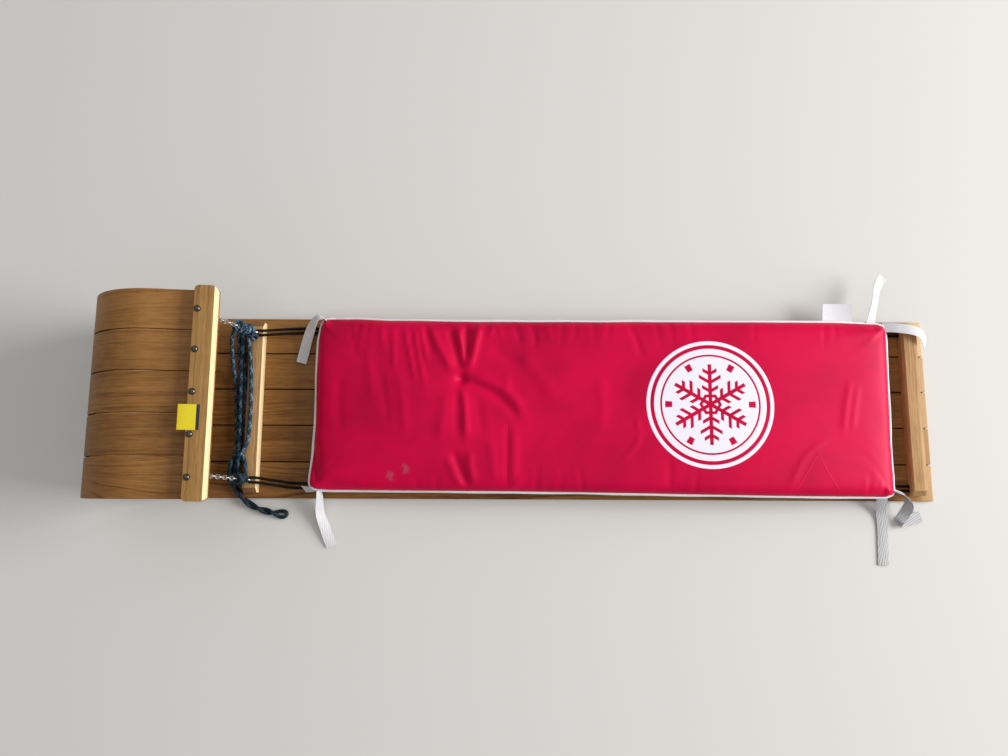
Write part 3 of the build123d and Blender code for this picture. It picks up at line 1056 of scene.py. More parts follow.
def chain_ends(side):
    """The middles of the two eyes' rings that a chain hangs between."""
    top = Vector((CHAIN_TOP.x, side * CHAIN_Y_TOP, CHAIN_TOP.z))
    return top, Vector((CHAIN_BOTTOM.x, side * CHAIN_Y_BOTTOM, CHAIN_BOTTOM.z))


class TOBOGGAN_OT_chains(bpy.types.Operator):
    """Hangs the two chains of oval links between their screw eyes"""

    bl_idname = "toboggan.chains"
    bl_label = "Chains and Eyes"

    def execute(self, context):
        material = steel_look("bright_plated_steel", (0.66, 0.65, 0.62), (0.9, 0.89, 0.86))
        for side, label in SIDES:
            top, bottom = chain_ends(side)
            self.eye(f"curl_eye_{label}", top, HOOD_SLOPE + math.pi, material)
            self.eye(f"deck_eye_{label}", bottom, 0.0, material)
            self.chain(label, top, bottom, material)
        return {"FINISHED"}

    def eye(self, node, middle, turn, material):
        """A bent ring with a collar that seats on the wood."""
        ring = added(
            bpy.ops.mesh.primitive_torus_add,
            major_radius=RING_RADIUS, minor_radius=RING_WIRE, major_segments=40, minor_segments=14,
            rotation=(math.pi / 2, 0.0, 0.0),
        )
        settle(ring)
        collar = added(
            bpy.ops.mesh.primitive_cylinder_add,
            vertices=28, radius=0.0032, depth=0.0017, location=(0, 0, -0.00675),
        )
        pick(settle(collar), "FACE", faces_up)
        bpy.ops.mesh.inset(thickness=0.0012)
        extrude((0, 0, 0.0008))
        leave_edit()
        ease_edges(collar, 0.0003, 2, 40)
        eye = join([ring, collar])
        eye.data.transform(Matrix.Translation(middle) @ Matrix.Rotation(turn, 4, "Y"))
        smooth(eye, 50)
        finish_piece(eye, f"{node}_smooth", material, [node])

    def chain(self, label, top, bottom, material):
        hold = RING_WIRE + LINK_WIRE + LINK_PLAY
        span = (bottom - top).length - 2 * RING_RADIUS + 2 * hold
        pitch = (span - 2 * LINK_WIRE - LINK_PLAY) / CHAIN_LINKS
        half = (pitch + 2 * LINK_WIRE + LINK_PLAY) / 2
        along = (bottom - top).normalized()
        quarter = along.cross(Vector((1, 0, 0))).normalized()
        matrices = []
        for number in range(CHAIN_LINKS):
            across = quarter if number % 2 else along.cross(quarter).normalized()
            middle = top + along * (RING_RADIUS - hold + half + number * pitch)
            axes = Matrix((along, across.cross(along), across)).transposed().to_4x4()
            matrices.append(Matrix.Translation(middle) @ axes)
        chain = copies(self.link(half), matrices)
        smooth(chain, 60)
        finish_piece(chain, f"curl_chain_{label}", material, [f"chain_{label}"])

    def link(self, half):
        """An oval link along X, made by pulling a ring's halves apart."""
        link = added(
            bpy.ops.mesh.primitive_torus_add,
            major_radius=LINK_END, minor_radius=LINK_WIRE, major_segments=24, minor_segments=10,
        )
        for side in (1, -1):
            pick(link, "VERT", lambda vertex: side * vertex.co.x > 0.00005)
            bpy.ops.transform.translate(value=(side * (half - LINK_END), 0.0, 0.0))
            leave_edit()
        return link


# Cords and tow rope, with their routes in millimetres

TOW_ROUTE = (
    # From the far chain down to the deck, along it and round the near fold
    (-527, 129, 112), (-534, 127, 106), (-543, 112, 88), (-549, 92, 64), (-553.5, 72, 42),
    (-555.5, 52, 22), (-555.5, 32, 12.4), (-554, 8, 11.9), (-551.5, -30, 11.9), (-549, -62, 11.9),
    (-550, -90, 11.9), (-553, -116, 12), (-550, -134, 12.2), (-541, -139, 12.2),
    (-533.6, -132, 12), (-532.8, -110, 11.9), (-533, -70, 11.9), (-535.5, 0, 11.9),
    (-540.5, 60, 11.9), (-547, 120, 12), (-548.5, 144, 15.5), (-551.5, 154, 16.5), (-557, 149, 13),
    (-556, 128, 11.9), (-551.5, 85, 11.9), (-548.4, 40, 11.9), (-546.8, 0, 11.9),
    (-542, -50, 11.9), (-541.5, -80, 13), (-546, -100, 18.5), (-549, -122, 19), (-549.5, -138, 20),
    # The loop pulled out over the floor, its two strands twisted together
    (-548.4, -143, 19.5), (-546.5, -152, 20.4), (-543.6, -163, 15.1), (-534.6, -172, 7.7),
    (-521.8, -177.8, 5.7), (-510.6, -184.8, 9.3), (-499.9, -193.7, 10.6), (-487.8, -199.4, 6.9),
    (-475.6, -198.6, 3.9), (-466, -196, 3.8), (-457, -194.6, 3.8), (-450.6, -198.2, 3.8),
    (-452.6, -205, 3.8), (-460, -207.4, 4.2), (-467.5, -203.8, 6.8), (-475.4, -198.6, 10.8),
    (-486.2, -192.2, 7.5), (-499.1, -191.3, 3.8), (-513.4, -190.2, 5.1), (-525.2, -182.2, 10.3),
    (-532.8, -170.5, 14.6), (-538.6, -159, 13.9), (-547.5, -151.5, 13.2), (-555.5, -143, 16.3),
    (-559, -128, 18), (-557.5, -114, 19), (-551.5, -101, 22.5), (-543.5, -89, 24.5),
    (-539.5, -74, 24.5), (-539.5, -55, 25.5), (-541, 0, 27), (-542.5, 50, 27), (-543.8, 100, 25),
    (-543, 136, 22.5),
    # Round the far fold and back along the top of the crosspiece
    (-540, 152, 23), (-534, 154.5, 31.5), (-530, 144, 38), (-527.6, 122, 39.8), (-524.5, 97, 38),
    (-521.5, 68, 36.2), (-519.5, 30, 35.8), (-518.5, -10, 35.8), (-519, -45, 35.8),
    (-521, -69, 37.5), (-524.5, -83, 43), (-532, -91, 42.5), (-537.5, -101, 33.5),
    (-538, -117, 31.2), (-538, -131, 31.2), (-535.5, -142, 31.5), (-529, -144, 34),
    (-525, -134, 37.4), (-521.6, -122, 37.4), (-522.6, -109, 36.4), (-527, -97, 36.2),
    (-533.5, -89.5, 33.5), (-542, -88.5, 31.5), (-549, -97, 29), (-553.5, -112, 26),
    (-555.5, -128, 26.5), (-551, -139.5, 34), (-543, -141.5, 50), (-537, -140, 70),
    (-529.5, -137.5, 86),
)
STOPPER_ROUTE = (
    (-523, 144.5, 36.2), (-520.5, 138, 37), (-517.5, 131, 37.5), (-513.5, 127, 38.5),
    (-511.5, 130.5, 42), (-515, 133.5, 45), (-520, 131.5, 44), (-521, 126.5, 40.5),
    (-517.5, 123, 37.5),
)
CORD_HALF_SPACING = 4.3
# The braids: how many strands wind each way, and the length of one turn
ROPE_BRAID = {"strands": 8, "pitch": 0.026}
STOPPER_BRAID = {"strands": 8, "pitch": 0.024}
CORD_BRAID = {"strands": 6, "pitch": 0.017}
# How high the strands stand out of the rope, and out of the smaller cords
ROPE_RELIEF = 0.0005
CORD_RELIEF = 0.0004
KNOT_TURN_STEPS = 26


def side_cord_route(side):
    """One cord, doubled: from the tail, over the front crosspiece, through the eye and back."""
    points = []
    for strand in (1, -1):
        eye_y = side * CHAIN_Y_BOTTOM / MM + strand * CORD_HALF_SPACING
        run_y = side * CORD_Y / MM + strand * CORD_HALF_SPACING
        half = [
            (731, run_y, 10.8), (200, run_y, 10.8), (-430, run_y, 10.8), (-440, run_y, 10.9),
            (-497, eye_y + (run_y - eye_y) * 0.1, 34), (-503, eye_y, 36.6), (-509, eye_y, 38),
            (-514.6, eye_y, 39.6),
        ]
        points += half[::strand]
    return points


class TOBOGGAN_OT_rope(bpy.types.Operator):
    """Lays the braided tow rope and the doubled side cords"""

    bl_idname = "toboggan.rope"
    bl_label = "Rope and Cords"

    def execute(self, context):
        settings = context.scene.toboggan_rope
        colours = (settings.rope_dark, settings.rope_teal, settings.rope_fleck)
        material = braid_look("braided_tow_rope", **ROPE_BRAID, colours=colours, roughness=0.62)
        line = spline_line(TOW_ROUTE, 0.00095)
        radius = settings.rope_diameter / 2
        rope = tube_piece("tow_rope", line, radius, 20, **ROPE_BRAID, relief=ROPE_RELIEF)
        nodes = ["tow_rope_lead", "tow_rope_hank", "tow_rope_over", "tow_rope_tail"]
        finish_piece(rope, "tow_rope", material, nodes)
        knots = [
            self.knot("rope_knot_far", 1, line[0], radius, material, low=0.055, turns=4.6),
            self.knot("rope_knot_near", -1, line[-1], radius, material, low=0.058, turns=3.6),
            self.stopper(radius, material),
        ]
        self.side_cords(settings)
        return {"FINISHED"}

    def knot(self, name, side, start, radius, material, low, turns):
        """The rope's end wound loosely down a chain, begun where the rope meets it."""
        top, bottom = chain_ends(side)
        along = (bottom - top).normalized()
        start = Vector(start)
        foot = top + along * (start - top).dot(along)
        first = (start - foot).length
        out = (start - foot).normalized()
        across = along.cross(out)
        reach = LINK_END + LINK_WIRE + radius
        drop = (foot.z - low) / -along.z
        points = []
        steps = round(turns * KNOT_TURN_STEPS)
        for step in range(steps + 1):
            share = step / steps
            angle = turns * math.tau * share
            begun = min(1.0, share * turns * 2.5)
            spread = first * (1 - begun) + (reach + 0.0009 * math.sin(angle * 0.63)) * begun
            run = drop * (share + 0.018 * math.sin(angle * 0.8))
            round_it = out * math.cos(angle) + across * math.sin(angle)
            points.append(tuple(foot + along * run + round_it * spread))
        line = even_line(np.array(points), 0.001)
        knot = tube_piece(name, line, radius, 18, **ROPE_BRAID, relief=ROPE_RELIEF)
        return finish_piece(knot, name, material)

    def stopper(self, radius, material):
        """A tight knot of the rope's spare end beside the far deck eye."""
        name = "rope_stopper_knot"
        line = spline_line(STOPPER_ROUTE, 0.001)
        knot = tube_piece(name, line, radius * 0.8, 16, **STOPPER_BRAID, relief=CORD_RELIEF)
        return finish_piece(knot, name, material)

    def side_cords(self, settings):
        black, radius = settings.cord_black, settings.cord_diameter / 2
        colours = (scaled(black, 0.6), black, scaled(black, 3.0))
        material = braid_look("black_side_cord", **CORD_BRAID, colours=colours, roughness=0.6)
        for side, label in SIDES:
            node = f"side_cord_{label}"
            name = f"{node}_braided"
            line = spline_line(side_cord_route(side), 0.0014)
            cord = tube_piece(name, line, radius, 12, **CORD_BRAID, relief=CORD_RELIEF)
            finish_piece(cord, name, material, [node])


# Seat pad

PAD_FRONT = -0.402
PAD_BACK = 0.680
PAD_HALF_WIDTH = 0.163
PAD_CORNER = 0.012
# Height of the seam at both ends and over the middle crosspieces, and the pad's half thickness
PAD_LOW = 0.0336
PAD_HIGH = 0.0523
PAD_HALF = 0.0195
PAD_END_RUN = 0.026
PAD_INSET = 0.0033
PAD_EDGE_STEPS = (0.0, 0.0005, 0.002, 0.0045, 0.008, 0.012, 0.0165)
PAD_CELL = 0.0058
# The cover swells from its seam as a superellipse of this power
PAD_POWER = 2.5
# The cover is held down here, and its fullest place lies beside it
DIMPLE = (-0.121, 0.0445)
DIMPLE_RADIUS = 0.006
DIMPLE_PRESS = 0.007
FULLEST_X = -0.10
# How firmly the rest of the cover is held
FREE_HOLD = 0.12
# Where the folds meet, in millimetres, and how much deeper they are pressed than they are listed
FOLD_DIMPLE = (-125, 47)
FOLD_STRENGTH = 1.6
# The simulation may move the cover by up to this much
STUFFING_CAP = 0.005
STUFFING_FRAMES = 20
CLOTH = {
    "quality": 6,
    "mass": 0.2,
    "tension_stiffness": 18,
    "compression_stiffness": 18,
    "shear_stiffness": 6,
    "bending_stiffness": 0.15,
    "use_pressure": True,
    "vertex_group_mass": "hold",
    "pin_stiffness": 1.0,
    "vertex_group_shrink": "slack",
    "shrink_min": 0.0,
}

# How far the soft pad lies out of its square: places along each side and the shift there
LEFT_SHIFT = (
    (-163, -6), (-141, -5), (-101, -0.6), (-42, 2.6), (49, 0), (116, 1.4), (163, 7),
)
RIGHT_SHIFT = (
    (-163, -2), (-58, -2.4), (55, 0.7), (163, 3.6),
)
FAR_SHIFT = (
    (-402, 6.5), (-318, 5.2), (-262, 1.6), (-206, 0.8), (-150, -0.8), (-94, -1.2), (-37, -0.7),
    (19, -0.7), (75, 0), (131, -0.2), (187, 0.5), (327, 0.5), (467, 1.8), (580, 3.6), (680, 2.1),
)
NEAR_SHIFT = (
    (-402, 5.5), (-365, 3.6), (-28, 2.5), (75, 1.3), (187, 0.2), (330, -1.7), (467, -3.3),
    (580, -4), (680, -4.2),
)
# How far the upper skin's edge lies inside the piping at the front, back, near and far side
PAD_TUCKS = (0.0028, 0.0055, 0.0006, 0.0047)
# Folds of the cover: points in millimetres, depth and half width in millimetres
PAD_FOLDS = (
    ([(-124, 62), (-131, 88), (-139, 112), (-148, 146)], -3.6, 5.6),
    ([(-118, 70), (-121, 92), (-125, 115), (-132, 148)], 3, 4.6),
    ([(-115, 76), (-114, 95), (-114, 120), (-117, 152)], -4.4, 4.8),
    ([(-112, 62), (-104, 90), (-98, 118), (-90, 150)], 3.6, 6.5),
    ([(-142, 60), (-156, 90), (-168, 112), (-185, 150)], 2.6, 6),
    ([(-176, 90), (-184, 112), (-193, 150)], -1.6, 4.6),
    ([(-186, 76), (-194, 112), (-202, 152)], 2, 3.6),
    ([(-190, 30), (-203, 85), (-214, 152)], 2.1, 3.6),
    ([(-206, 40), (-222, 98), (-231, 152)], 2, 3.6),
    ([(-246, 60), (-251, 96), (-252, 152)], 1.5, 3.6), ([(-268, 100), (-274, 152)], 1.4, 3.4),
    ([(-119, 44), (-89, 33), (-62, 19), (-43, 2), (-27, -14), (-20, -30)], -2.4, 6.5),
    ([(-110, 53), (-80, 46), (-53, 34), (-33, 17), (-16, -3), (-9, -20)], 2.2, 8),
    ([(-42, 22), (-40, 54)], 1, 7), ([(-124, 34), (-119, 12), (-115, -25), (-113, -70)], 2.6, 6),
    ([(-128, 28), (-130, -10), (-130, -58)], -1.8, 7),
    ([(-150, 20), (-158, -20), (-160, -64)], 1.2, 10),
    ([(-96, 20), (-88, -20), (-86, -60)], -1, 8),
    ([(-137, -84), (-128, -108), (-119, -128), (-107, -152)], -2.8, 5.4),
    ([(-150, -92), (-142, -112), (-132, -134), (-118, -154)], 1.4, 5),
    ([(-108, -84), (-107, -116), (-99, -144)], 2.2, 6), ([(-38, -30), (-39, -150)], -1.6, 3.4),
    ([(-27, -40), (-25, -100), (-28, -150)], 1.2, 6.5), ([(-30, -152), (-9, -128)], 1.2, 4),
    ([(-70, -60), (-68, -100), (-58, -146)], 1, 6),
    ([(-274, 60), (-262, 10), (-258, -40)], -0.9, 6), ([(-240, 60), (-228, 0), (-224, -60)], 1, 7),
    ([(-300, 110), (-292, 60), (-286, 0)], 0.8, 7),
    ([(-330, 140), (-328, 110), (-318, 88)], -0.9, 3),
    ([(-352, 60), (-350, 0), (-346, -60)], -0.8, 9),
    ([(-398, -66), (-394, -100), (-387, -152)], -5, 10),
    ([(-378, -147), (-340, -149), (-305, -152)], -2.4, 8), ([(-96, 134), (-88, 154)], 1.6, 4),
    ([(-74, 124), (-64, 154)], 1.6, 4.4), ([(-52, 126), (-58, 154)], 1.4, 4),
    ([(-16, 114), (-26, 150)], -1.6, 4.4), ([(13, 108), (6, 152)], -1.8, 4.6),
    ([(40, 120), (34, 152)], 1, 5), ([(-20, 100), (20, 60), (50, 10)], 1.2, 14),
    ([(-70, 110), (-40, 80), (-4, 70)], -1.2, 12),
    ([(194, -20), (202, -44), (196, -78), (162, -104)], 1.2, 3),
    ([(470, -146), (486, -116), (500, -92), (520, -74), (546, -60)], 0.8, 4),
    ([(576, -50), (581, -3), (596, 52)], 0.9, 5.5), ([(592, -46), (600, 3), (610, 44)], 0.8, 5),
    ([(186, 154), (200, 120), (210, 84)], -1.2, 4.6),
    ([(252, -152), (254, -122), (252, -96)], -1, 4), ([(130, 60), (138, 0), (128, -60)], 0.8, 10),
)
# Pleats that run in from the piping: place along the pad, side, length, depth, half width
PAD_PLEATS = (
    (-318, 1, 46, -0.7, 3.6), (-299, 1, 50, -0.8, 3.8), (62, 1, 50, -0.8, 4.4),
    (88, 1, 40, -1, 4.2), (118, 1, 56, -0.8, 4.4), (150, 1, 44, -0.9, 4.4),
    (236, 1, 48, -0.8, 4.6), (262, 1, 54, -0.7, 4.6), (300, 1, 50, -0.7, 5), (420, 1, 40, -0.6, 4),
    (554, 1, 46, -0.8, 3.6), (574, 1, 30, -0.7, 3.4), (-200, -1, 34, -0.6, 4.2),
    (-168, -1, 36, -0.7, 4.4), (12, -1, 44, -0.9, 4.6), (56, -1, 40, -0.7, 4.4),
    (96, -1, 48, -0.7, 4.8), (300, -1, 44, -0.6, 4.8), (620, -1, 36, -0.7, 4),
    (648, -1, 26, -0.8, 3.6),
)


def pad_middle_height(x):
    """Height of the pad's seam: it rides over the middle crosspieces and sinks at both ends."""
    first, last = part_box("crosspiece_middle_1")[0].x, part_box("crosspiece_middle_2")[1].x
    front, back = PAD_FRONT + PAD_END_RUN, PAD_BACK - PAD_END_RUN
    rise = np.clip((x - front) / (first - front), 0, 1)
    fall = np.clip((back - x) / (back - last), 0, 1)
    return PAD_LOW + (PAD_HIGH - PAD_LOW) * np.sin(np.minimum(rise, fall) * math.pi / 2)


def pad_shift(x, y):
    """The pad's points in plan, moved as the photograph shows it lying."""

    def along(value, table):
        places, shifts = zip(*table)
        return np.interp(value / MM, places, shifts) * MM

    front = np.clip(1 - (x - PAD_FRONT) / 0.09, 0, 1) ** 2
    back = np.clip(1 - (PAD_BACK - x) / 0.09, 0, 1) ** 2
    far = np.clip((y + PAD_HALF_WIDTH) / (2 * PAD_HALF_WIDTH), 0, 1)
    moved_x = x + along(y, LEFT_SHIFT) * front + along(y, RIGHT_SHIFT) * back
    moved_y = y + along(x, FAR_SHIFT) * far + along(x, NEAR_SHIFT) * (1 - far)
    return moved_x, moved_y


def pad_steps(length):
    """Insets of the grid's lines from one end to the other: close together at the edges."""
    edge = np.array(PAD_EDGE_STEPS)
    middle = length - 2 * edge[-1]
    count = round(middle / PAD_CELL)
    inner = edge[-1] + np.arange(1, count) * middle / count
    return np.concatenate([edge, inner, length - edge[::-1]])


def pad_shell():
    """Both skins on one grid: points, faces, which of the upper ones lie on the seam, its order."""
    front, back, half = PAD_FRONT + PAD_INSET, PAD_BACK - PAD_INSET, PAD_HALF_WIDTH - PAD_INSET
    xs, ys = pad_steps(back - front), pad_steps(2 * half)
    gx, gy = np.meshgrid(xs, ys, indexing="ij")
    in_x, in_y = np.minimum(gx, xs[-1] - gx), np.minimum(gy, ys[-1] - gy)
    depth = np.minimum(in_x, in_y)
    # The grid's square corners are pulled onto round ones
    a, b = np.clip(1 - in_x / PAD_CORNER, 0, 1), np.clip(1 - in_y / PAD_CORNER, 0, 1)
    share = np.maximum(a, b) / np.maximum(np.hypot(a, b), 1e-9)
    corner = (a > 0) & (b > 0)
    side_x, side_y = np.sign(gx - xs[-1] / 2), np.sign(gy - ys[-1] / 2)
    cx = np.where(side_x < 0, front + PAD_CORNER, back - PAD_CORNER)
    cy = side_y * (half - PAD_CORNER)
    px = np.where(corner, cx + side_x * PAD_CORNER * a * share, front + gx)
    py = np.where(corner, cy + side_y * PAD_CORNER * b * share, gy - half)
    reach = 1 - np.clip(depth / PAD_EDGE_STEPS[-1], 0, 1)
    swell = PAD_HALF * (1 - reach**PAD_POWER) ** (1 / PAD_POWER)
    middle = pad_middle_height(px)
    px, py = pad_shift(px, py)
    lower = np.stack([px, py, middle - swell], axis=-1).reshape(-1, 3)
    edges = ((px, 1, gx), (px, -1, xs[-1] - gx), (py, 1, gy), (py, -1, ys[-1] - gy))
    for (axis, sign, inward), tuck in zip(edges, PAD_TUCKS):
        axis += sign * tuck * np.clip(inward / 0.002, 0, 1) * np.clip(1.5 - inward / 0.03, 0, 1)
    top = np.stack([px, py, middle + swell], axis=-1).reshape(-1, 3)
    nx, ny = gx.shape
    index = np.arange(nx * ny).reshape(nx, ny)
    seam = depth.reshape(-1) < 1e-7
    inner = np.flatnonzero(~seam)
    under = index.reshape(-1).copy()
    under[inner] = nx * ny + np.arange(len(inner))
    under = under.reshape(nx, ny)
    faces = []
    for i in range(nx - 1):
        for j in range(ny - 1):
            faces.append((index[i, j], index[i + 1, j], index[i + 1, j + 1], index[i, j + 1]))
            faces.append((under[i, j], under[i, j + 1], under[i + 1, j + 1], under[i + 1, j]))
    points = np.concatenate([top, lower[inner]])
    edge = np.concatenate([index[:, 0], index[-1, 1:], index[-2::-1, -1], index[0, -2:0:-1]])
    return points, [tuple(int(v) for v in face) for face in faces], seam, edge


def line_distance(points, route):
    """Distance of each point from a route in plan, and the share of the way along it."""
    best = np.full(len(points), 1e9)
    share = np.zeros(len(points))
    route = np.array(route, dtype=float)
    total = run_of(route)[-1]
    run = 0.0
    for p, q in zip(route, route[1:]):
        step = q - p
        length = float(np.hypot(*step))
        t = np.clip(((points - p) @ step) / length**2, 0, 1)
        distance = np.hypot(*(points - p - t[:, None] * step).T)
        closer = distance < best
        best = np.where(closer, distance, best)
        share = np.where(closer, (run + t * length) / total, share)
        run += length
    return best, share


def bell(value):
    return np.exp(-(value**2))


class TOBOGGAN_OT_pad(bpy.types.Operator):
    """Stuffs the seat pad's cover by simulation and sews its piping on"""

    bl_idname = "toboggan.pad"
    bl_label = "Seat Pad"

    def execute(self, context):
        settings = context.scene.toboggan_pad
        points, faces, seam, edge = pad_shell()
        pad = mesh_piece("seat_pad_cover", points, faces)
        self.stuff(pad, points, seam, settings)
        self.fold(pad, seam)
        rim = np.array([pad.data.vertices[int(number)].co for number in edge])
        add_modifier(pad, "SUBSURF", levels=1, render_levels=1)
        smooth(pad, 180)
        finish_piece(pad, "seat_pad_cover", cover_look(settings), ["seat_pad"])
        self.sew(rim, settings)
        return {"FINISHED"}

    def stuff(self, pad, points, seam, settings):
        """Blows the cover up against its seam, with some of it cut too long."""
        mesh, scene = pad.data, bpy.context.scene
        hold = pad.vertex_groups.new(name="hold")
        slack = pad.vertex_groups.new(name="slack")
        fixed = list(range(len(seam), len(points))) + np.flatnonzero(seam).tolist()
        hold.add(fixed, 1.0, "REPLACE")
        x, y = points[: len(seam), 0], points[: len(seam), 1]
        dimple = np.hypot(x - DIMPLE[0], y - DIMPLE[1]) < DIMPLE_RADIUS
        loose = bell((x - FULLEST_X) / 0.22) * 0.9 + 0.12
        for number in np.flatnonzero(~seam).tolist():
            hold.add([number], 1.0 if dimple[number] else FREE_HOLD, "REPLACE")
            slack.add([number], float(loose[number]), "REPLACE")
        for number in np.flatnonzero(dimple).tolist():
            mesh.vertices[number].co.z -= DIMPLE_PRESS
        cloth = pad.modifiers.new("stuffing", "CLOTH")
        for key, value in CLOTH.items():
            setattr(cloth.settings, key, value)
        cloth.settings.uniform_pressure_force = settings.pressure
        cloth.settings.shrink_max = -settings.slack
        cloth.settings.effector_weights.gravity = 0.0
        cloth.collision_settings.use_collision = False
        for number in range(1, STUFFING_FRAMES + 1):
            scene.frame_set(number)
        choose(pad)
        bpy.ops.object.modifier_apply(modifier=cloth.name)
        scene.frame_set(1)
        shift = np.array([vertex.co for vertex in mesh.vertices]) - points
        size = np.maximum(np.linalg.norm(shift, axis=1), 1e-9)[:, None]
        shift *= STUFFING_CAP * np.tanh(size / STUFFING_CAP) / size
        mesh.vertices.foreach_set("co", (points + shift).reshape(-1))
        mesh.update()
        pad.vertex_groups.clear()

    def fold(self, pad, seam):
        """Presses the folds and pleats into the upper skin."""
        mesh, count = pad.data, len(seam)
        places = np.array([vertex.co for vertex in mesh.vertices])
        plan = places[:count, :2] / MM
        dimple = np.hypot(plan[:, 0] - FOLD_DIMPLE[0], plan[:, 1] - FOLD_DIMPLE[1])
        change = -5.0 * bell(dimple / 9.5)
        for route, depth, width in PAD_FOLDS:
            line = spline_line([(x, y, 0.0) for x, y in route], 0.006)[:, :2] / MM
            distance, share = line_distance(plan, line)
            fade = np.clip(share / 0.16, 0.15, 1) * np.clip((1 - share) / 0.2, 0.15, 1)
            change += depth * fade * bell(distance / width)
        for x, side, length, depth, width in PAD_PLEATS:
            y = side * (PAD_HALF_WIDTH / MM - 9)
            lean = 6 * math.sin(x * 0.7)
            line = [(x + lean * way, y - side * length * way) for way in (0.0, 0.5, 1.0)]
            distance, share = line_distance(plan, line)
            # A low ridge lies beside each pleat
            press = bell(distance / width) - 0.5 * bell((distance - width * 1.9) / width)
            change += depth * (1 - share) ** 0.8 * press
        edge_depth = np.minimum(
            np.minimum(plan[:, 0] - PAD_FRONT / MM, PAD_BACK / MM - plan[:, 0]),
            PAD_HALF_WIDTH / MM - np.abs(plan[:, 1]),
        )
        change *= FOLD_STRENGTH * np.clip((edge_depth - 1) / 8, 0, 1)
        places[:count, 2] += change * MM * ~seam
        mesh.vertices.foreach_set("co", places.reshape(-1))
        mesh.update()

    def sew(self, rim, settings):
        """White piping round the seam, puckered where it turns the corners."""
        material = tape_look("white_piping", settings.piping)
        step = 0.004
        line = even_line(np.concatenate([rim, rim[:1]]), step)[:-1]
        run = np.arange(len(line)) * step
        centre = np.array([(PAD_FRONT + PAD_BACK) / 2, 0.0])
        half = np.array([(PAD_BACK - PAD_FRONT) / 2, PAD_HALF_WIDTH])
        from_corner = (half - np.abs(line[:, :2] - centre)).max(axis=1)
        near_corner = np.clip(1 - from_corner / 0.05, 0, 1)
        wave = np.sin(run / 0.0065) * 0.0011 + np.sin(run / 0.0041 + 1.3) * 0.0006
        line[:, 2] += wave * (0.15 + near_corner)
        drift = np.sin(run / 0.021) * 0.0004 + np.sin(run / 0.047 + 0.4) * 0.0005
        line[:, :2] += unit(line[:, :2] - centre) * drift[:, None]
        for _ in range(2):
            line = (np.roll(line, 1, axis=0) + 2 * line + np.roll(line, -1, axis=0)) / 4
        piping = tube_piece("pad_piping", line, settings.piping_radius, 12, closed=True)
        finish_piece(piping, "pad_piping", material)


# Tapes, tag and sticker: stations of a place in millimetres and the direction across the tape

TAPE_WIDTH, TAPE_THICKNESS = 0.0195, 0.0008
TAG_WIDTH, TAG_THICKNESS = 0.056, 0.0006
TAPES = {
    "pad_tie_front_far": (
        (-386, 163, 35, 0.7, -0.6, 0.3), (-390, 170, 44, 0.6, -0.5, 0.6),
        (-398, 167, 50, 0.6, -0.4, 0.7), (-405, 157, 47, 0.75, -0.3, 0.6),
        (-411.5, 146, 40, 0.85, -0.2, 0.4), (-420.8, 128, 26, 0.95, -0.2, 0.2),
        (-428.5, 106, 15, 0.98, -0.2, 0), (-434.5, 85, 10.8, 0.98, -0.2, 0),
    ),
    "pad_tie_front_near": (
        (-385.5, -156, 34, 0.25, 0, -0.87), (-385.3, -165, 31, 0.25, 0, -0.87),
        (-387, -178, 22, 0.38, 0, -0.8), (-388, -193, 13, 0.54, 0, -0.7),
        (-386, -206, 8.5, 0.64, 0.03, -0.6), (-381.5, -217, 5.6, 0.76, 0.1, -0.45),
        (-373.8, -239, 3.4, 0.88, 0.25, -0.25), (-365.3, -260, 1.6, 0.93, 0.37, -0.03),
    ),
    "pad_tie_back_far": (
        (651, 161, 36, 1, 0, -0.1), (652, 169, 39, 0.95, 0, -0.3), (655, 185, 42, 0.86, 0, -0.5),
        (659, 203, 45, 0.84, 0, -0.54), (661.5, 221, 46, 0.86, -0.05, -0.5),
        (667, 238, 46, 0.88, -0.25, -0.4), (676.5, 252, 45, 0.85, -0.45, -0.28),
    ),
    "pad_tie_back_near": (
        (655, -156, 34, 1, 0, 0), (656.5, -168, 26, 0.99, 0, 0.1), (659.5, -182, 13, 0.99, 0, 0.1),
        (664, -199, 3.4, 1, 0, 0), (665.5, -220, 1.9, 1, 0, 0), (664.5, -250, 1.7, 1, 0, 0),
        (663, -290, 1.7, 1, 0.02, 0),
    ),
    "pad_tie_back_far_over": (
        (674, 155, 36, 0, 0.93, -0.3), (686, 154.5, 39.5, 0, 0.94, -0.28),
        (699, 153, 43, 0.02, 0.95, -0.25), (716, 150.7, 45, 0.08, 0.96, -0.2),
        (731, 147.5, 45, 0.25, 0.93, -0.2), (742, 143, 43, 0.6, 0.72, -0.3),
        (749.5, 136, 38, 0.74, 0.3, -0.56), (754.5, 129, 32.5, 0.7, 0.15, -0.68),
        (757, 122.5, 27, 0.58, 0.17, -0.8),
    ),
    "pad_tie_back_near_over": (
        (673, -150, 36, -0.4, -0.25, 0.88), (682, -153.5, 35.5, -0.4, -0.22, 0.88),
        (694, -158, 34, -0.4, -0.18, 0.88), (704, -166, 30, -0.25, -0.12, 0.95),
        (708, -177, 24, 0.45, -0.1, 0.87), (705, -188, 18, 0.8, -0.3, 0.5),
        (700, -198, 13, 0.78, -0.6, 0.08), (695.5, -206, 9.8, 0.7, -0.72, 0),
        (694.5, -210, 7.4, 0.7, -0.72, 0), (700, -210.5, 6.1, 0.62, -0.79, 0),
        (716, -206.5, 5.2, 0.5, -0.87, 0), (738, -199.5, 4.2, 0.45, -0.89, 0),
    ),
    "pad_tie_front_near_end": (
        (-390, -152, 34, 0.1, 0.4, 0.9), (-398, -154.5, 30, 0.1, 0.4, 0.9),
        (-407, -155, 25.5, 0.1, 0.45, 0.88), (-417, -154.5, 22, 0.1, 0.5, 0.86),
    ),
}
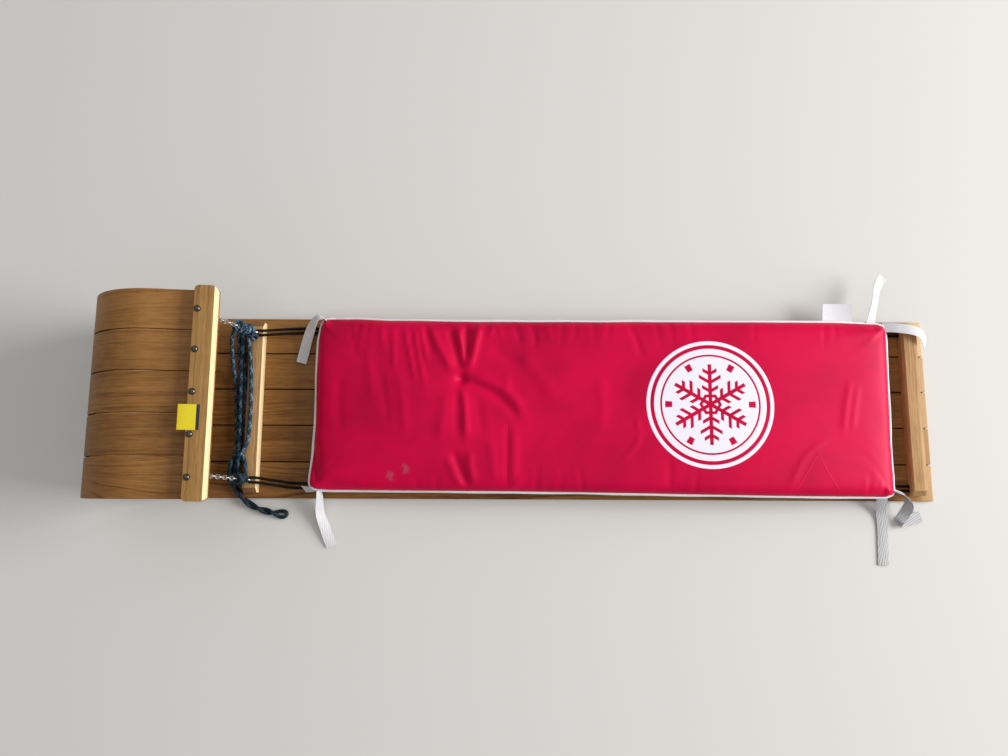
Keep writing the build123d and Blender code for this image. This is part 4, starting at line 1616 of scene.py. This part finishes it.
TAG = (
    (588, 161, 36.5, 1, 0, 0), (588, 169, 37.5, 1, 0, 0.02),
    (587.8, 184, 40, 1, 0.04, 0.03), (587.7, 198.5, 44, 1, 0.07, 0.05),
)


class TOBOGGAN_OT_tapes(bpy.types.Operator):
    """Lays the cotton tie tapes and the blank care tag"""

    bl_idname = "toboggan.tapes"
    bl_label = "Tapes and Tag"

    def execute(self, context):
        white = context.scene.toboggan_pad.piping
        plain = tape_look("white_cotton_tape", scaled(white, 0.8))
        # The near tapes at the back are darker and more strongly woven: partly their open weave,
        # partly painted shade
        open_weave_shaded = tape_look("open_cotton_tape_shaded", scaled(white, 0.68), 0.28)
        for name, stations in TAPES.items():
            tape, length = ribbon_piece(stations, TAPE_WIDTH, TAPE_THICKNESS)
            nodes = [name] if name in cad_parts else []
            material = open_weave_shaded if name.startswith("pad_tie_back_near") else plain
            finish_piece(tape, f"{name}_tape", material, nodes)
        tag, length = ribbon_piece(TAG, TAG_WIDTH, TAG_THICKNESS, cells=12)
        look = plain_look("blank_tag_satin", screen_colour(228, 228, 232), 0.5)
        finish_piece(tag, "care_tag_cloth", look, ["care_tag"])
        return {"FINISHED"}


# The sticker's middle and width across the deck, and from where it droops over the bar's edge
STICKER_Y = -0.042
STICKER_WIDTH = 0.041
STICKER_EDGE = -0.034
STICKER_LIFT = 0.0223


class TOBOGGAN_OT_sticker(bpy.types.Operator):
    """Sticks the blank yellow label over the bar's front edge"""

    bl_idname = "toboggan.sticker"
    bl_label = "Sticker"

    def execute(self, context):
        yellow = plain_look("yellow_paper", screen_colour(228, 206, 12), 0.5)
        black = plain_look("black_paper", screen_colour(26, 26, 26), 0.4)
        self.label("yellow_label", -0.0485, -0.0199, yellow)
        self.label("black_label_strip", -0.0198, -0.0148, black)
        return {"FINISHED"}

    def label(self, name, first, last, material):
        """Paper from first to last along the bar's top, which droops over the front edge."""
        grid = bpy.ops.mesh.primitive_grid_add
        label = added(grid, x_subdivisions=14, y_subdivisions=10, size=1.0)
        for vertex in label.data.vertices:
            y = STICKER_Y + vertex.co.y * STICKER_WIDTH
            along = first + (vertex.co.x + 0.5) * (last - first)
            over = max(0.0, STICKER_EDGE - along)
            lift = STICKER_LIFT - 4.5 * over**2 + 0.0002 * math.sin(y * 160)
            vertex.co = HOOD_END + HOOD_ALONG * along + HOOD_OUT * lift + Vector((0, y, 0))
        label.data.update()
        add_modifier(label, "SOLIDIFY", thickness=0.0002, offset=0.0)
        smooth(label, 50)
        finish_piece(label, name, material)


# Stage

# The camera as it was fitted to the photograph, in metres, radians and millimetres
CAMERA_PLACE = (-0.04897, -0.15655, 1.46213)
CAMERA_PAN, CAMERA_TILT, CAMERA_ROLL = 0.0023, 0.1468, 0.0053
CAMERA_LENS = 27.363


class TOBOGGAN_OT_camera(bpy.types.Operator):
    """Stands the camera where the photograph was taken"""

    bl_idname = "toboggan.camera"
    bl_label = "Camera"

    def execute(self, context):
        data = bpy.data.cameras.new("camera")
        data.sensor_width = 36.0
        data.lens = CAMERA_LENS
        data.clip_start = 0.02
        camera = bpy.data.objects.new("camera", data)
        context.scene.collection.objects.link(camera)
        lean = Matrix.Rotation(CAMERA_TILT, 4, "X")
        swing = Matrix.Rotation(-CAMERA_PAN, 4, "Y")
        turn = Matrix.Rotation(CAMERA_ROLL, 4, "Z")
        camera.matrix_world = Matrix.Translation(CAMERA_PLACE) @ lean @ swing @ turn
        context.scene.camera = camera
        return {"FINISHED"}


class TOBOGGAN_OT_stage(bpy.types.Operator):
    """Lays the pale floor and hangs the soft lights"""

    bl_idname = "toboggan.stage"
    bl_label = "Stage"

    def execute(self, context):
        settings = context.scene.toboggan_stage
        context.scene.view_settings.view_transform = "Standard"
        floor = settle(added(bpy.ops.mesh.primitive_plane_add, size=14.0, location=(0, 0, -0.0002)))
        floor.name = "floor"
        floor.data.materials.append(self.floor_look(settings))
        self.light("key", (5.0, 0.3, 2.3), (0.1, 0.0, 0.1), 3.2, settings.key)
        self.light("top", (-0.3, 0.6, 3.0), (0.0, 0.0, 0.0), 2.4, settings.top)
        world = bpy.data.worlds.new("sky")
        world.use_nodes = True
        back = world.node_tree.nodes["Background"]
        back.inputs["Color"].default_value = (*screen_colour(236, 236, 236), 1.0)
        back.inputs["Strength"].default_value = settings.sky
        context.scene.world = world
        return {"FINISHED"}

    def floor_look(self, settings):
        """Pale as it is seen, greyer as it lights the object, and darkened below the deck by a
        painted shadow.
        """
        look = Look("pale_floor")
        cloud = look.noise(look.place(), scale=1.2, detail=3.0)
        paths = look.node("ShaderNodeLightPath").socket.node.outputs
        seen = Value(look, paths["Is Camera Ray"])
        for name in ("Is Glossy Ray", "Is Transmission Ray"):
            seen = seen.most(Value(look, paths[name]))
        x, y, _ = look.parts(look.place())
        # A painted shadow darkens the floor below the deck
        half_width, middle_x, half_length = 0.164, 0.06, 0.7005
        below = abs(y).below(half_width, 0.004) * abs(x - middle_x).below(half_length, 0.001)
        shown = look.mix(cloud * 0.5, settings.floor, scaled(settings.floor, 0.94))
        colour = look.mix(seen, settings.floor_bounce, shown)
        colour = look.mix(below, colour, screen_colour(96, 56, 28))
        return look.finish(base_color=colour, roughness=0.9, specular_ior_level=0.1)

    def light(self, name, place, target, size, power):
        data = bpy.data.lights.new(name, "AREA")
        data.size = size
        data.energy = power
        lamp = bpy.data.objects.new(name, data)
        bpy.context.scene.collection.objects.link(lamp)
        aim = (Vector(target) - Vector(place)).to_track_quat("-Z", "Y").to_matrix().to_4x4()
        lamp.matrix_world = Matrix.Translation(place) @ aim


OPERATORS = (
    TOBOGGAN_OT_camera,
    TOBOGGAN_OT_rope,
    TOBOGGAN_OT_slats,
    TOBOGGAN_OT_bar,
    TOBOGGAN_OT_crosspieces,
    TOBOGGAN_OT_bolts,
    TOBOGGAN_OT_chains,
    TOBOGGAN_OT_pad,
    TOBOGGAN_OT_tapes,
    TOBOGGAN_OT_sticker,
    TOBOGGAN_OT_stage,
)
SETTINGS = {
    "toboggan_wood": TobogganWoodSettings,
    "toboggan_pad": TobogganPadSettings,
    "toboggan_rope": TobogganRopeSettings,
    "toboggan_stage": TobogganStageSettings,
}


class TOBOGGAN_PT_panel(bpy.types.Panel):
    """Lists the toboggan's settings and pieces"""

    bl_idname = "TOBOGGAN_PT_panel"
    bl_label = "Toboggan"
    bl_space_type = "VIEW_3D"
    bl_region_type = "UI"
    bl_category = "Toboggan"

    def draw(self, context):
        for name, group in SETTINGS.items():
            box = self.layout.box()
            for setting in group.__annotations__:
                box.prop(getattr(context.scene, name), setting)
        for operator in OPERATORS:
            self.layout.operator(operator.bl_idname)


def register():
    for name, group in SETTINGS.items():
        bpy.utils.register_class(group)
        setattr(bpy.types.Scene, name, PointerProperty(type=group))
    for operator in OPERATORS:
        bpy.utils.register_class(operator)
    bpy.utils.register_class(TOBOGGAN_PT_panel)


def unregister():
    bpy.utils.unregister_class(TOBOGGAN_PT_panel)
    for operator in reversed(OPERATORS):
        bpy.utils.unregister_class(operator)
    for name, group in SETTINGS.items():
        delattr(bpy.types.Scene, name)
        bpy.utils.unregister_class(group)


def main():
    register()
    for operator in OPERATORS:
        family, name = operator.bl_idname.split(".")
        getattr(getattr(bpy.ops, family), name)()


if __name__ == "__main__":
    main()
